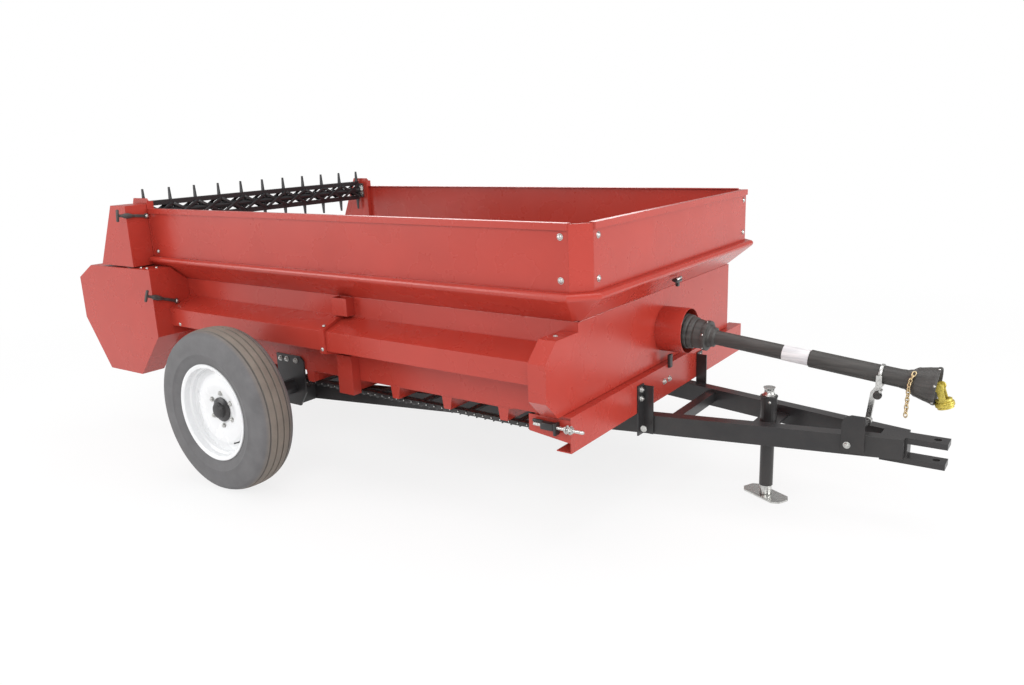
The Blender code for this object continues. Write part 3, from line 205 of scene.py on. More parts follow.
def blend_colour(tree, factor, first, second):
    """Mixes two colours, each a socket or a tuple."""
    node = tree.nodes.new("ShaderNodeMix")
    node.data_type = "RGBA"
    if isinstance(factor, (int, float)):
        node.inputs["Factor"].default_value = factor
    else:
        tree.links.new(factor, node.inputs["Factor"])
    for label, value in (("A", first), ("B", second)):
        socket = next(s for s in node.inputs if s.name == label and s.type == "RGBA")
        if isinstance(value, tuple):
            socket.default_value = value if len(value) == 4 else (*value, 1)
        else:
            tree.links.new(value, socket)
    return next(s for s in node.outputs if s.type == "RGBA")


def scaled(colour, factor):
    """A colour made lighter or darker, up to full brightness."""
    return tuple(min(1, channel * factor) for channel in colour)


def edge_wear_group():
    """Mask along convex edges, broken up by noise."""
    group, start, end = new_group(
        "Edge wear", [("Radius", "NodeSocketFloat", 0.002), ("Amount", "NodeSocketFloat", 0.4)],
        [("Mask", "NodeSocketFloat")])
    bevel = group.nodes.new("ShaderNodeBevel")
    bevel.samples = 4
    group.links.new(start.outputs["Radius"], bevel.inputs["Radius"])
    geometry = group.nodes.new("ShaderNodeNewGeometry")
    dot = group.nodes.new("ShaderNodeVectorMath")
    dot.operation = "DOT_PRODUCT"
    group.links.new(bevel.outputs["Normal"], dot.inputs[0])
    group.links.new(geometry.outputs["Normal"], dot.inputs[1])
    edge = span(group, dot.outputs["Value"], 0.995, 0.9)
    broken = span(group, noise(group, 38, 5, 0.7), 0.42, 0.66)
    worn = math_node(group, "MULTIPLY", edge, broken)
    mask = math_node(group, "MULTIPLY", worn, start.outputs["Amount"], clamp=True)
    group.links.new(mask, end.inputs["Mask"])
    return group


def dust_group():
    """Dust that thins out upwards between two heights, in drifts."""
    group, start, end = new_group(
        "Settled dust",
        [("Colour", "NodeSocketColor", (0.5, 0.5, 0.5, 1)),
         ("Dust", "NodeSocketColor", (0.25, 0.21, 0.18, 1)), ("Amount", "NodeSocketFloat", 0.3),
         ("Low", "NodeSocketFloat", 0.0), ("High", "NodeSocketFloat", 0.6),
         ("Scale", "NodeSocketFloat", 9.0)],
        [("Colour", "NodeSocketColor"), ("Mask", "NodeSocketFloat")])
    coordinates = group.nodes.new("ShaderNodeTexCoord")
    parts = group.nodes.new("ShaderNodeSeparateXYZ")
    group.links.new(coordinates.outputs["Object"], parts.inputs[0])
    fall = span(group, parts.outputs["Z"], start.outputs["Low"], start.outputs["High"], 1.0, 0.0)
    drift = span(group, noise(group, start.outputs["Scale"], 6, 0.6), 0.35, 0.7, 0.25, 1.0)
    settled = math_node(group, "MULTIPLY", fall, drift)
    mask = math_node(group, "MULTIPLY", settled, start.outputs["Amount"], clamp=True)
    dusted = blend_colour(group, mask, start.outputs["Colour"], start.outputs["Dust"])
    group.links.new(dusted, end.inputs["Colour"])
    group.links.new(mask, end.inputs["Mask"])
    return group


def grain_group():
    """Fine grain over a long soft wave, as a height."""
    group, start, end = new_group(
        "Sheet grain",
        [("Fine", "NodeSocketFloat", 420.0), ("Wave", "NodeSocketFloat", 5.0),
         ("Mix", "NodeSocketFloat", 0.3)],
        [("Height", "NodeSocketFloat"), ("Tone", "NodeSocketFloat")])
    fine = noise(group, start.outputs["Fine"], 2)
    wave = noise(group, start.outputs["Wave"], 2)
    part = math_node(group, "MULTIPLY", fine, start.outputs["Mix"])
    group.links.new(math_node(group, "ADD", part, wave), end.inputs["Height"])
    group.links.new(wave, end.inputs["Tone"])
    return group


def shared(name):
    """The shared group of that name, built on first use."""
    makers = {"Edge wear": edge_wear_group, "Settled dust": dust_group, "Sheet grain": grain_group}
    return bpy.data.node_groups.get(name) or makers[name]()


def placed(tree, name, **values):
    """Puts a shared group in a material with its own values."""
    node = tree.nodes.new("ShaderNodeGroup")
    node.node_tree = shared(name)
    for label, value in values.items():
        socket = node.inputs[label]
        if isinstance(value, bpy.types.NodeSocket):
            tree.links.new(value, socket)
        else:
            socket.default_value = value
    return node


def new_material(name, roughness, metallic=0.0, **constants):
    """A Principled material with its constant sockets set."""
    material = bpy.data.materials.new(name)
    material.use_nodes = True
    shader = material.node_tree.nodes["Principled BSDF"]
    shader.inputs["Roughness"].default_value = roughness
    shader.inputs["Metallic"].default_value = metallic
    for label, value in constants.items():
        shader.inputs[label.replace("_", " ")].default_value = value
    return material, material.node_tree, shader


def bumped(tree, shader, height, strength, distance, round_edges=0.0012):
    """Feeds a height to the shader's normal, over softly rounded edges."""
    bump = tree.nodes.new("ShaderNodeBump")
    bump.inputs["Strength"].default_value = strength
    bump.inputs["Distance"].default_value = distance
    tree.links.new(height, bump.inputs["Height"])
    if round_edges:
        soft = tree.nodes.new("ShaderNodeBevel")
        soft.samples = 4
        soft.inputs["Radius"].default_value = round_edges
        tree.links.new(soft.outputs["Normal"], bump.inputs["Normal"])
    tree.links.new(bump.outputs["Normal"], shader.inputs["Normal"])


def paint(name, colour, roughness, shift, dust, wear, worn_to):
    """Paint on folded steel: slow tone changes, orange peel, dust below and rubbed edges."""
    material, tree, shader = new_material(name, roughness, Coat_Weight=0.06, Coat_Roughness=0.2)
    grain = placed(tree, "Sheet grain", Fine=520.0, Wave=3.2, Mix=0.1)
    tone = span(tree, grain.outputs["Tone"], 0.3, 0.7)
    toned = blend_colour(tree, tone, scaled(colour, 1 - shift), scaled(colour, 1 + shift))
    edge = placed(tree, "Edge wear", Radius=0.0022, Amount=wear)
    worn = blend_colour(tree, edge.outputs["Mask"], toned, worn_to)
    settings = bpy.context.scene.spreader_finishes
    dusty = placed(
        tree, "Settled dust", Colour=worn, Dust=(*settings.dust, 1), Amount=dust, Low=0.05, High=0.95)
    tree.links.new(dusty.outputs["Colour"], shader.inputs["Base Color"])
    scuffs = span(tree, noise(tree, 7, 4, 0.5), 0.3, 0.75, roughness - 0.02, roughness + 0.04)
    chalky = math_node(tree, "MULTIPLY", dusty.outputs["Mask"], 0.35)
    dulled = math_node(tree, "ADD", scuffs, chalky, clamp=True)
    tree.links.new(dulled, shader.inputs["Roughness"])
    bumped(tree, shader, grain.outputs["Height"], 0.05, 0.0006)
    return material


def metal(name, colour, roughness, spangle, metallic=1.0):
    """Plated or bare steel with a mottled surface."""
    material, tree, shader = new_material(name, roughness, metallic)
    flakes = tree.nodes.new("ShaderNodeTexVoronoi")
    flakes.inputs["Scale"].default_value = 160
    coordinates = tree.nodes.new("ShaderNodeTexCoord")
    tree.links.new(coordinates.outputs["Object"], flakes.inputs["Vector"])
    mottle = math_node(tree, "MULTIPLY", flakes.outputs["Distance"], noise(tree, 30, 4))
    tone = span(tree, mottle, 0.05, 0.4)
    toned = blend_colour(tree, tone, scaled(colour, 1 - spangle), colour)
    edge = placed(tree, "Edge wear", Radius=0.0012, Amount=0.5)
    bright = blend_colour(tree, edge.outputs["Mask"], toned, scaled(colour, 1.25))
    tree.links.new(bright, shader.inputs["Base Color"])
    dulled = span(tree, tone, 0, 1, roughness + 0.14, roughness - 0.05)
    tree.links.new(dulled, shader.inputs["Roughness"])
    bumped(tree, shader, mottle, 0.15, 0.0004, 0.0008)
    return material


def rubber_material(name, wheel):
    """Tyre: dark side walls, dusty worn tread, fine moulded texture."""
    settings = bpy.context.scene.spreader_finishes
    material, tree, shader = new_material(name, 0.7)
    coordinates = tree.nodes.new("ShaderNodeTexCoord")
    mapping = tree.nodes.new("ShaderNodeMapping")
    mapping.inputs["Location"].default_value = -Vector(JOINTS[wheel]["pos_m"])
    tree.links.new(coordinates.outputs["Object"], mapping.inputs["Vector"])
    flat = tree.nodes.new("ShaderNodeVectorMath")
    flat.operation = "MULTIPLY"
    flat.inputs[1].default_value = (1, 0, 1)
    tree.links.new(mapping.outputs["Vector"], flat.inputs[0])
    length = tree.nodes.new("ShaderNodeVectorMath")
    length.operation = "LENGTH"
    tree.links.new(flat.outputs[0], length.inputs[0])
    crown = JOINTS[wheel]["pos_m"][2]
    tread = span(tree, length.outputs["Value"], crown - 0.012, crown - 0.003)
    cloud = span(tree, noise(tree, 14, 6, 0.65), 0.3, 0.72)
    pale = blend_colour(tree, cloud, scaled(settings.dust, 0.62), scaled(settings.dust, 0.86))
    wall = blend_colour(tree, cloud, scaled(settings.rubber, 0.85), scaled(settings.rubber, 1.25))
    both = blend_colour(tree, tread, wall, pale)
    tree.links.new(both, shader.inputs["Base Color"])
    tree.links.new(span(tree, cloud, 0, 1, 0.55, 0.78), shader.inputs["Roughness"])
    bumped(tree, shader, noise(tree, 260, 4, 0.7), 0.25, 0.0006, 0)
    return material


def plastic_material(name, colour, roughness):
    """Moulded guard plastic, scuffed along its length."""
    material, tree, shader = new_material(name, roughness)
    streak = span(tree, noise(tree, 60, 5, 0.6, stretch=(0.08, 1, 1)), 0.35, 0.7)
    scuffed = tuple(min(1, c * 2.0 + 0.012) for c in colour)
    toned = blend_colour(tree, streak, colour, scuffed)
    edge = placed(tree, "Edge wear", Radius=0.0018, Amount=0.5)
    worn = blend_colour(tree, edge.outputs["Mask"], toned, (0.16, 0.15, 0.14))
    tree.links.new(worn, shader.inputs["Base Color"])
    dulled = span(tree, streak, 0, 1, roughness - 0.06, roughness + 0.12)
    tree.links.new(dulled, shader.inputs["Roughness"])
    bumped(tree, shader, noise(tree, 700, 3), 0.12, 0.0004)
    return material


def board_material(name):
    """Treated floor boards running along the bed, with gaps between them."""
    material, tree, shader = new_material(name, 0.65)
    coordinates = tree.nodes.new("ShaderNodeTexCoord")
    parts = tree.nodes.new("ShaderNodeSeparateXYZ")
    tree.links.new(coordinates.outputs["Object"], parts.inputs[0])
    grain = noise(tree, 40, 8, 0.6, stretch=(0.06, 1, 1))
    toned = blend_colour(tree, span(tree, grain, 0.3, 0.7), (0.1, 0.062, 0.036), (0.27, 0.18, 0.105))
    board = math_node(tree, "FRACT", math_node(tree, "MULTIPLY", parts.outputs["Y"], 7.2))
    gap = math_node(tree, "LESS_THAN", board, 0.03)
    tree.links.new(blend_colour(tree, gap, toned, (0.02, 0.015, 0.01)), shader.inputs["Base Color"])
    tree.links.new(span(tree, grain, 0.2, 0.8, 0.5, 0.8), shader.inputs["Roughness"])
    bumped(tree, shader, math_node(tree, "SUBTRACT", grain, gap), 0.5, 0.0012)
    return material


NODE_FINISHES = {
    "red": "ledge flare_side_right flare_side_left flare_front corner_plate_right corner_plate_left "
           "side_wall_right side_wall_left front_wall floor_frame front_channel side_corner_plate "
           "front_cover pto_shroud shield_rear shield_front post_right post_left end_plate_right "
           "end_plate_left lower_guard upper_guard apron_drive_cover rear_crossmember",
    "black": "axle hub_right hub_left tongue_beam_right tongue_beam_left hitch_clevis tongue_brace "
             "hitch_bracket_right hitch_bracket_left gearbox rest_bracket jack_body jack_leg "
             "beater_upper beater_lower apron_upper apron_lower apron_shaft_front apron_shaft_rear",
    "white": "rim_right rim_left",
    "zinc": "chain_tensioner pto_rest_arm jack_cap jack_foot upper_bearing_right upper_bearing_left "
            "lower_bearing_right lower_bearing_left",
    "plastic": "pto_inner_shaft pto_outer_shaft",
    "yellow": "pto_yoke",
    "boards": "floor",
}


def build_finishes():
    """Every finish by its short name."""
    settings = bpy.context.scene.spreader_finishes
    wear = settings.wear
    red, black = tuple(settings.red), tuple(settings.black)
    return {
        "red": paint("Red paint", red, 0.27, 0.05, 0.03, wear, (0.52, 0.12, 0.09)),
        "black": paint("Black paint", black, 0.34, 0.2, 0.1, wear, (0.1, 0.1, 0.1)),
        "white": paint("Wheel white", tuple(settings.white), 0.25, 0.02, 0.06, wear * 0.3,
                       (0.6, 0.6, 0.58)),
        "zinc": metal("Zinc plate", (0.66, 0.66, 0.64), 0.3, 0.25),
        "gold": metal("Passivated links", (0.7, 0.56, 0.33), 0.3, 0.25),
        "yellow": metal("Yellow passivate", (0.62, 0.5, 0.09), 0.4, 0.35, 0.35),
        "plastic": plastic_material("Guard plastic", (0.032, 0.03, 0.028), 0.5),
        "sleeve": plastic_material("Blank sleeve", (0.62, 0.62, 0.64), 0.4),
        "boards": board_material("Floor boards"),
        "tyre_right": rubber_material("Right tyre rubber", "wheel_right_spin"),
        "tyre_left": rubber_material("Left tyre rubber", "wheel_left_spin"),
    }


def coat(piece, finish):
    """Gives a piece one finish."""
    piece.data.materials.clear()
    piece.data.materials.append(bpy.data.materials[FINISH_NAMES[finish]])


FINISH_NAMES = {}


# ---------------------------------------------------------------- modelling helpers

def deselect():
    for thing in list(bpy.context.selected_objects):
        thing.select_set(False)


def settle(piece, name):
    """Names a finished piece and puts its place in its mesh."""
    deselect()
    piece.select_set(True)
    bpy.context.view_layer.objects.active = piece
    bpy.ops.object.transform_apply(location=True, rotation=True, scale=True)
    piece.name = piece.data.name = name
    return piece


def smooth(piece, degrees=32):
    deselect()
    piece.select_set(True)
    bpy.context.view_layer.objects.active = piece
    bpy.ops.object.shade_smooth_by_angle(angle=math.radians(degrees))


def lathe(name, profile, centre, axis, steps=64, closed=False):
    """A circle extruded and resized along its axis through (radius, along) points. A closed
    profile makes a tube; an open one is capped flat at both ends."""
    axis, centre = Vector(axis).normalized(), Vector(centre)
    turn = Z.rotation_difference(axis).to_euler()
    radius, along = profile[0]
    deselect()
    bpy.ops.mesh.primitive_circle_add(
        vertices=steps, radius=radius, location=centre + axis * along, rotation=turn)
    piece = bpy.context.object
    bpy.ops.object.mode_set(mode="EDIT")
    for far_radius, far_along in list(profile[1:]) + ([profile[0]] if closed else []):
        bpy.ops.mesh.extrude_region_move(TRANSFORM_OT_translate={"value": axis * (far_along - along)})
        ratio = far_radius / radius
        bpy.ops.transform.resize(value=(ratio,) * 3, center_override=centre + axis * far_along)
        radius, along = far_radius, far_along
    bpy.ops.mesh.select_all(action="SELECT")
    bpy.ops.mesh.remove_doubles(threshold=0.00002)
    if not closed:
        bpy.ops.mesh.fill_holes(sides=0)
    bpy.ops.mesh.normals_make_consistent(inside=False)
    bpy.ops.object.mode_set(mode="OBJECT")
    settle(piece, name)
    smooth(piece)
    return piece


def block(name, centre, size, bevel=0.0015, turn=(0, 0, 0)):
    """A bevelled block."""
    deselect()
    bpy.ops.mesh.primitive_cube_add(size=1, location=centre, rotation=turn, scale=size)
    piece = bpy.context.object
    bpy.ops.object.transform_apply(location=False, rotation=False, scale=True)
    bpy.ops.object.mode_set(mode="EDIT")
    bpy.ops.mesh.select_all(action="SELECT")
    bpy.ops.mesh.bevel(offset=bevel, segments=2, affect="EDGES")
    bpy.ops.object.mode_set(mode="OBJECT")
    settle(piece, name)
    smooth(piece)
    return piece


def joined(name, pieces):
    """Several meshes as one piece."""
    deselect()
    for piece in pieces:
        piece.select_set(True)
    bpy.context.view_layer.objects.active = pieces[0]
    if len(pieces) > 1:
        bpy.ops.object.join()
    return settle(pieces[0], name)


def copied(master, matrix):
    """A copy with its own mesh, moved by a matrix."""
    copy = master.copy()
    copy.data = master.data.copy()
    copy.data.transform(matrix)
    bpy.context.scene.collection.objects.link(copy)
    return copy


def towards(place, normal, spin=0.0):
    """The matrix that takes +Z to a normal at a place."""
    turn = Z.rotation_difference(Vector(normal).normalized()).to_matrix().to_4x4()
    return Matrix.Translation(Vector(place)) @ turn @ Matrix.Rotation(spin, 4, "Z")


def scatter(name, master, matrices, finish, body):
    """Copies of one master at several places, as one piece."""
    pieces = [copied(master, matrix) for matrix in matrices]
    bpy.data.objects.remove(master)
    piece = joined(name, pieces)
    coat(piece, finish)
    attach(piece, body)
    return piece


def done(piece, finish, body, *replaced):
    """Finishes a piece, lets it ride, and hides the CAD nodes that it stands for."""
    coat(piece, finish)
    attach(piece, body)
    if replaced:
        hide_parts(*replaced)
    return piece


def carriage_bolt(radius):
    """Domed head on a thin washer, standing on Z = 0."""
    r = radius
    return lathe("carriage bolt", [
        (r * 1.25, 0), (r * 1.25, r * 0.14), (r * 1.02, r * 0.16), (r * 0.98, r * 0.34),
        (r * 0.8, r * 0.56), (r * 0.48, r * 0.7), (r * 0.12, r * 0.74)], (0, 0, 0), Z, 20)


def hex_bolt(radius):
    """Six-sided head on a washer, with a chamfered top, standing on Z = 0."""
    r = radius
    washer = lathe("washer", [(r * 1.35, 0), (r * 1.35, r * 0.16), (r, r * 0.16)], (0, 0, 0), Z, 24)
    head = lathe("head", [(r, r * 0.17), (r * 1.06, r * 0.2), (r * 1.06, r * 0.72), (r * 0.92, r * 0.86)],
                 (0, 0, 0), Z, 6)
    end = lathe("end", [(r * 0.42, r * 0.8), (r * 0.42, r * 1.15), (r * 0.34, r * 1.25)],
                (0, 0, 0), Z, 12)
    return joined("hex bolt", [washer, head, end])


# ---------------------------------------------------------------- operators

class SpreaderOperator:
    bl_options = {"REGISTER", "UNDO"}


class SPREADER_OT_finishes(SpreaderOperator, bpy.types.Operator):
    """Gives every CAD node its finish"""
    bl_idname = "spreader.finishes"
    bl_label = "Finishes"

    def execute(self, context):
        for finish, material in build_finishes().items():
            FINISH_NAMES[finish] = material.name
        for finish, names in NODE_FINISHES.items():
            for name in names.split():
                coat(frame["nodes"][name], finish)
        for side in ("right", "left"):
            coat(frame["nodes"]["tyre_" + side], "tyre_" + side)
        return {"FINISHED"}


class SPREADER_OT_tyres(SpreaderOperator, bpy.types.Operator):
    """Makes the ribbed tyres"""
    bl_idname = "spreader.tyres"
    bl_label = "Tyres"

    def execute(self, context):
        fittings = context.scene.spreader_fittings
        for side, sign in (("right", -1), ("left", 1)):
            centre = Vector(JOINTS[f"wheel_{side}_spin"]["pos_m"])
            low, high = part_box("tyre_" + side)
            wide = (high.y - low.y) / 2
            crown = centre.z
            count, depth = fittings.grooves, fittings.groove_depth
            gap = 2 * (wide - 0.04) / (count - 1) if count > 1 else 0
            groove_places = [-(wide - 0.04) + i * gap for i in range(count)]

            def surface(y):
                return crown - 0.0165 * (abs(y) / (wide - 0.014)) ** 3.0

            tread = [(surface(-(wide - 0.014)), -(wide - 0.014)), (surface(-(wide - 0.024)), -(wide - 0.024))]
            for place in groove_places:
                top = surface(place)
                tread += [(surface(place - 0.0042), place - 0.0042), (top - 0.0012, place - 0.003),
                          (top - depth, place - 0.0016), (top - depth, place + 0.0016),
                          (top - 0.0012, place + 0.003), (surface(place + 0.0042), place + 0.0042)]
                if place != groove_places[-1]:
                    tread.append((surface(place + gap / 2), place + gap / 2))
            tread += [(surface(wide - 0.024), wide - 0.024), (surface(wide - 0.014), wide - 0.014)]
            wall = [
                (crown - 0.023, wide - 0.0095), (crown - 0.031, wide - 0.0062),
                (crown - 0.04, wide - 0.0036), (crown - 0.054, wide - 0.0012), (crown - 0.074, wide),
                (crown - 0.092, wide - 0.0012), (crown - 0.094, wide - 0.0002),
                (crown - 0.099, wide - 0.0006), (crown - 0.101, wide - 0.0024),
                (crown - 0.114, wide - 0.0062), (crown - 0.127, wide - 0.011),
                (crown - 0.134, wide - 0.015), (crown - 0.1375, wide - 0.0172),
                (crown - 0.149, wide - 0.0175)]
            profile = [(r, -y) for r, y in reversed(wall)] + tread + wall
            tyre = lathe(f"tyre_{side}_ribbed", profile, centre, Y, 112, closed=True)
            smooth(tyre, 40)
            done(tyre, "tyre_" + side, "wheel_" + side, "tyre_" + side)
        return {"FINISHED"}


class SPREADER_OT_rims(SpreaderOperator, bpy.types.Operator):
    """Makes the dished wheels, their hubs, wheel nuts and valve stems"""
    bl_idname = "spreader.rims"
    bl_label = "Rims and hubs"

    def execute(self, context):
        for side, sign in (("right", -1), ("left", 1)):
            centre = Vector(JOINTS[f"wheel_{side}_spin"]["pos_m"])
            low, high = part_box("rim_" + side)
            edge = (high.y - low.y) / 2
            flange = (high.z - low.z) / 2
            seat = flange - 0.0133
            rim = lathe(f"rim_{side}_dished", [
                (flange, edge - 0.004), (flange - 0.0012, edge - 0.0008), (flange - 0.004, edge),
                (flange - 0.0075, edge - 0.001), (seat - 0.0042, edge - 0.006),
                (seat - 0.0045, edge - 0.03), (seat - 0.0135, edge - 0.036), (seat - 0.014, 0.022),
                (0.172, 0.02), (0.158, 0.0225), (0.146, 0.029), (0.138, 0.0305), (0.112, 0.0305),
                (0.098, 0.0285), (0.08, 0.0215), (0.066, 0.0185), (RIM_BORE, 0.018), (RIM_BORE, 0.0105),
                (0.095, 0.024), (0.14, 0.024), (0.17, 0.014), (seat - 0.0185, 0.014),
                (seat - 0.0185, -edge + 0.034), (seat - 0.0085, -edge + 0.03),
                (seat - 0.0085, -edge + 0.004), (flange - 0.006, -edge), (flange, -edge + 0.003),
                (flange, -edge + 0.0052), (seat, -edge + 0.0052), (seat, edge - 0.0052),
                (flange, edge - 0.0052)],
                centre, Y * sign, 96, closed=True)
            done(rim, "white", "wheel_" + side, "rim_" + side)
            hub = lathe(f"hub_{side}_cap", [
                (0.044, -0.07), (0.044, 0.0188), (0.0515, 0.019), (0.0525, 0.0205), (0.0525, 0.025),
                (0.049, 0.0275), (0.04, 0.03), (0.0345, 0.032), (0.0335, 0.043), (0.0315, 0.045),
                (0.029, 0.0455), (0.027, 0.048), (0.018, 0.05), (0.006, 0.0505)],
                centre, Y * sign, 48)
            done(hub, "black", "wheel_" + side, "hub_" + side)
            out = Y * sign
            nuts = []
            for i in range(NUTS):
                spoke = Matrix.Rotation(math.tau * (i + 0.5) / NUTS, 3, "Y") @ (X * NUT_CIRCLE)
                nuts.append(towards(centre + out * 0.0203 + spoke, out))
            scatter(f"wheel_nuts_{side}", hex_bolt(0.0088), nuts, "zinc", "wheel_" + side)
            stem = lathe(f"valve_{side}", [
                (0.0045, 0), (0.0045, 0.016), (0.003, 0.018), (0.003, 0.032), (0.0036, 0.033),
                (0.0036, 0.04)],
                centre + out * 0.024 + Z * -0.12 + X * 0.117, out + Z * 0.1, 14)
            done(stem, "black", "wheel_" + side)
        return {"FINISHED"}


def shaft_frame():
    """Drive shaft's pivot and direction."""
    lift, slide = JOINTS["pto_shaft_lift"], JOINTS["pto_telescope"]
    return Vector(lift["pos_m"]), Vector(slide["axis"]).normalized()


def on_shaft(x):
    """Distance along the shaft from its pivot to a place given from the box's front face."""
    pivot, axis = shaft_frame()
    return (BOX_FRONT + x - pivot.x) / axis.x


def along_shaft(points):
    """(radius, place) points whose places are given from the box's front face."""
    return [(radius, on_shaft(place)) for radius, place in points]


class SPREADER_OT_shroud(SpreaderOperator, bpy.types.Operator):
    """Makes the round shroud on the front cover"""
    bl_idname = "spreader.shroud"
    bl_label = "Shroud"

    def execute(self, context):
        low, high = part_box("pto_shroud")
        centre = (low + high) / 2
        centre.x = low.x
        radius, length, sheet = (high.y - low.y) / 2, high.x - low.x, 0.003
        shroud = lathe("shroud_rolled", [
            (radius, 0), (radius, length - 0.0035), (radius - 0.0004, length - 0.0012),
            (radius - 0.0015, length), (radius - 0.0026, length - 0.0012),
            (radius - sheet, length - 0.0035), (radius - sheet, 0)],
            centre, X, 80, closed=True)
        done(shroud, "red", "chassis", "pto_shroud")
        return {"FINISHED"}


class SPREADER_OT_drive_shaft(SpreaderOperator, bpy.types.Operator):
    """Makes the guard tubes, cones, collars and blank sleeve of the drive shaft"""
    bl_idname = "spreader.drive_shaft"
    bl_label = "Drive shaft"

    def execute(self, context):
        pivot, axis = shaft_frame()
        thin = INNER_TUBE
        cone = [(0.018, -0.03), (0.03, -0.008), (0.03, 0.002), (0.066, 0.004), (0.0705, 0.006),
                (0.0705, 0.014), (0.068, 0.017), (0.068, 0.022), (0.07, 0.025), (0.069, 0.034),
                (0.064, 0.037), (0.064, 0.041), (0.0655, 0.044), (0.063, 0.056), (0.058, 0.059),
                (0.058, 0.063), (0.0595, 0.066), (0.0575, 0.082), (0.056, 0.092)]
        collar = [(0.056, 0.094), (0.06, 0.096), (0.061, 0.104), (0.06, 0.112), (0.047, 0.115),
                  (0.046, 0.122), (0.04, 0.126), (0.039, 0.138), (thin + 0.002, 0.141), (thin, 0.143),
                  (thin, 0.8)]
        rear = lathe("rear_guard", along_shaft(cone + collar), pivot, axis, 64)
        done(rear, "plastic", "pto_rear_half", "pto_inner_shaft")

        thick, bore = OUTER_TUBE, thin + LEAF
        front = lathe("front_guard", along_shaft([
            (bore, 0.51), (thick - 0.001, 0.5085), (thick, 0.5095), (thick, 0.7), (thick, 0.82),
            (0.0345, 0.832), (0.0345, 0.84), (0.0375, 0.846), (0.04, 0.856), (0.047, 0.864),
            (0.052, 0.872), (0.053, 0.88), (0.059, 0.902), (0.06, 0.905), (0.0605, 0.91), (0.0645, 0.927),
            (0.0672, 0.932), (0.0678, 0.937), (0.0668, 0.941), (0.065, 0.942), (0.0622, 0.938),
            (0.048, 0.88), (0.045, 0.87), (0.0215, 0.868), (0.021, 0.83),
            (bore, 0.828)]), pivot, axis, 72, closed=True)
        done(front, "plastic", "pto_front_half", "pto_outer_shaft")

        sleeve = lathe("blank_sleeve", along_shaft([
            (thin + 0.0003, 0.408), (thin + 0.0011, 0.4084), (thin + 0.0011, 0.5055),
            (thin + 0.0003, 0.506)]),
            pivot, axis, 64, closed=True)
        done(sleeve, "sleeve", "pto_rear_half")

        side = axis.orthogonal().normalized()
        for name, place, radius, body in (
            ("rear_guard_screws", 0.104, 0.0608, "pto_rear_half"),
            ("front_guard_screws", 0.936, 0.0676, "pto_front_half"),
        ):
            centre = pivot + axis * on_shaft(place)
            outward = [Matrix.Rotation(math.tau * i / 6, 3, axis) @ side for i in range(6)]
            spots = [towards(centre + way * radius, way) for way in outward]
            scatter(name, carriage_bolt(0.0032), spots, "zinc", body)
        return {"FINISHED"}


class SPREADER_OT_bolts(SpreaderOperator, bpy.types.Operator):
    """Places the bolts of the bed, guards, axle plates, brackets and tongue"""
    bl_idname = "spreader.bolts"
    bl_label = "Bolts"

    def execute(self, context):
        size = context.scene.spreader_fittings.bolt
        flare, guard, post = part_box("flare_side_right"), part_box("lower_guard"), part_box("post_right")
        skin = BOX_SIDE - PANEL_SKIN
        front_face = BOX_FRONT - PANEL_SKIN
        side_x = BOX_FRONT - CORNER_BOLT
        front_y = BOX_SIDE - CORNER_BOLT
        domes = []
        for z in (0.184, 0.039):
            for sign in (-1, 1):
                domes.append(towards((side_x, sign * skin, LEDGE + z), Y * sign))
                domes.append(towards((front_face, sign * front_y, LEDGE + z), X))
        for sign in (-1, 1):
            domes.append(towards((flare[0].x + 0.03, sign * skin, LEDGE + 0.022), Y * sign))
        scatter("bed_bolts", carriage_bolt(size), domes, "zinc", "chassis")

        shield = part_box("shield_front")
        small = []
        for x in (-0.07, -0.12):
            small.append(towards((guard[1].x + x, guard[0].y + 0.035, guard[1].z), Z))
        small.append(towards((guard[1].x - 0.045, guard[0].y + 0.07, guard[1].z), Z))
        small.append(towards((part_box("shield_rear")[0].x + 0.07, shield[0].y, shield[0].z + 0.035), -Y))
        small.append(towards((post[0].x + 0.014, -0.79, LEDGE - 0.222), Vector((0, -0.35, 1))))
        small.append(towards((post[0].x + 0.014, post[0].y, LEDGE - 0.318), -Y))
        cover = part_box("front_cover")
        small.append(towards((cover[1].x - 0.04, -0.76, LEDGE - 0.15), Z))
        scatter("guard_bolts", carriage_bolt(size * 0.72), small, "zinc", "chassis")

        hexes = []
        axle = JOINTS["wheel_right_spin"]["pos_m"][0]
        for sign in (-1, 1):
            for x, z in ((-0.062, -0.437), (-0.02, -0.436), (0.04, -0.437), (0.01, -0.56), (-0.06, -0.56)):
                hexes.append(towards((axle + x, sign * AXLE_PLATE_Y, LEDGE + z), Y * sign))
        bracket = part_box("hitch_bracket_right")
        for sign in (-1, 1):
            for z in (-0.46, -0.496):
                hexes.append(towards((bracket[0].x + 0.006, sign * (bracket[0].y + 0.026), LEDGE + z), X))
            hexes.append(towards((bracket[0].x + 0.028, sign * bracket[0].y, LEDGE - 0.608), Y * sign))
        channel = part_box("front_channel")[1].x
        for y in (-0.067, -0.02):
            hexes.append(towards((channel, y, LEDGE - 0.485), X))
        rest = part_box("rest_bracket")
        hexes.append(towards((rest[0].x + 0.022, rest[0].y, LEDGE - 0.606), -Y))
        scatter("frame_bolts", hex_bolt(size), hexes, "zinc", "chassis")
        return {"FINISHED"}


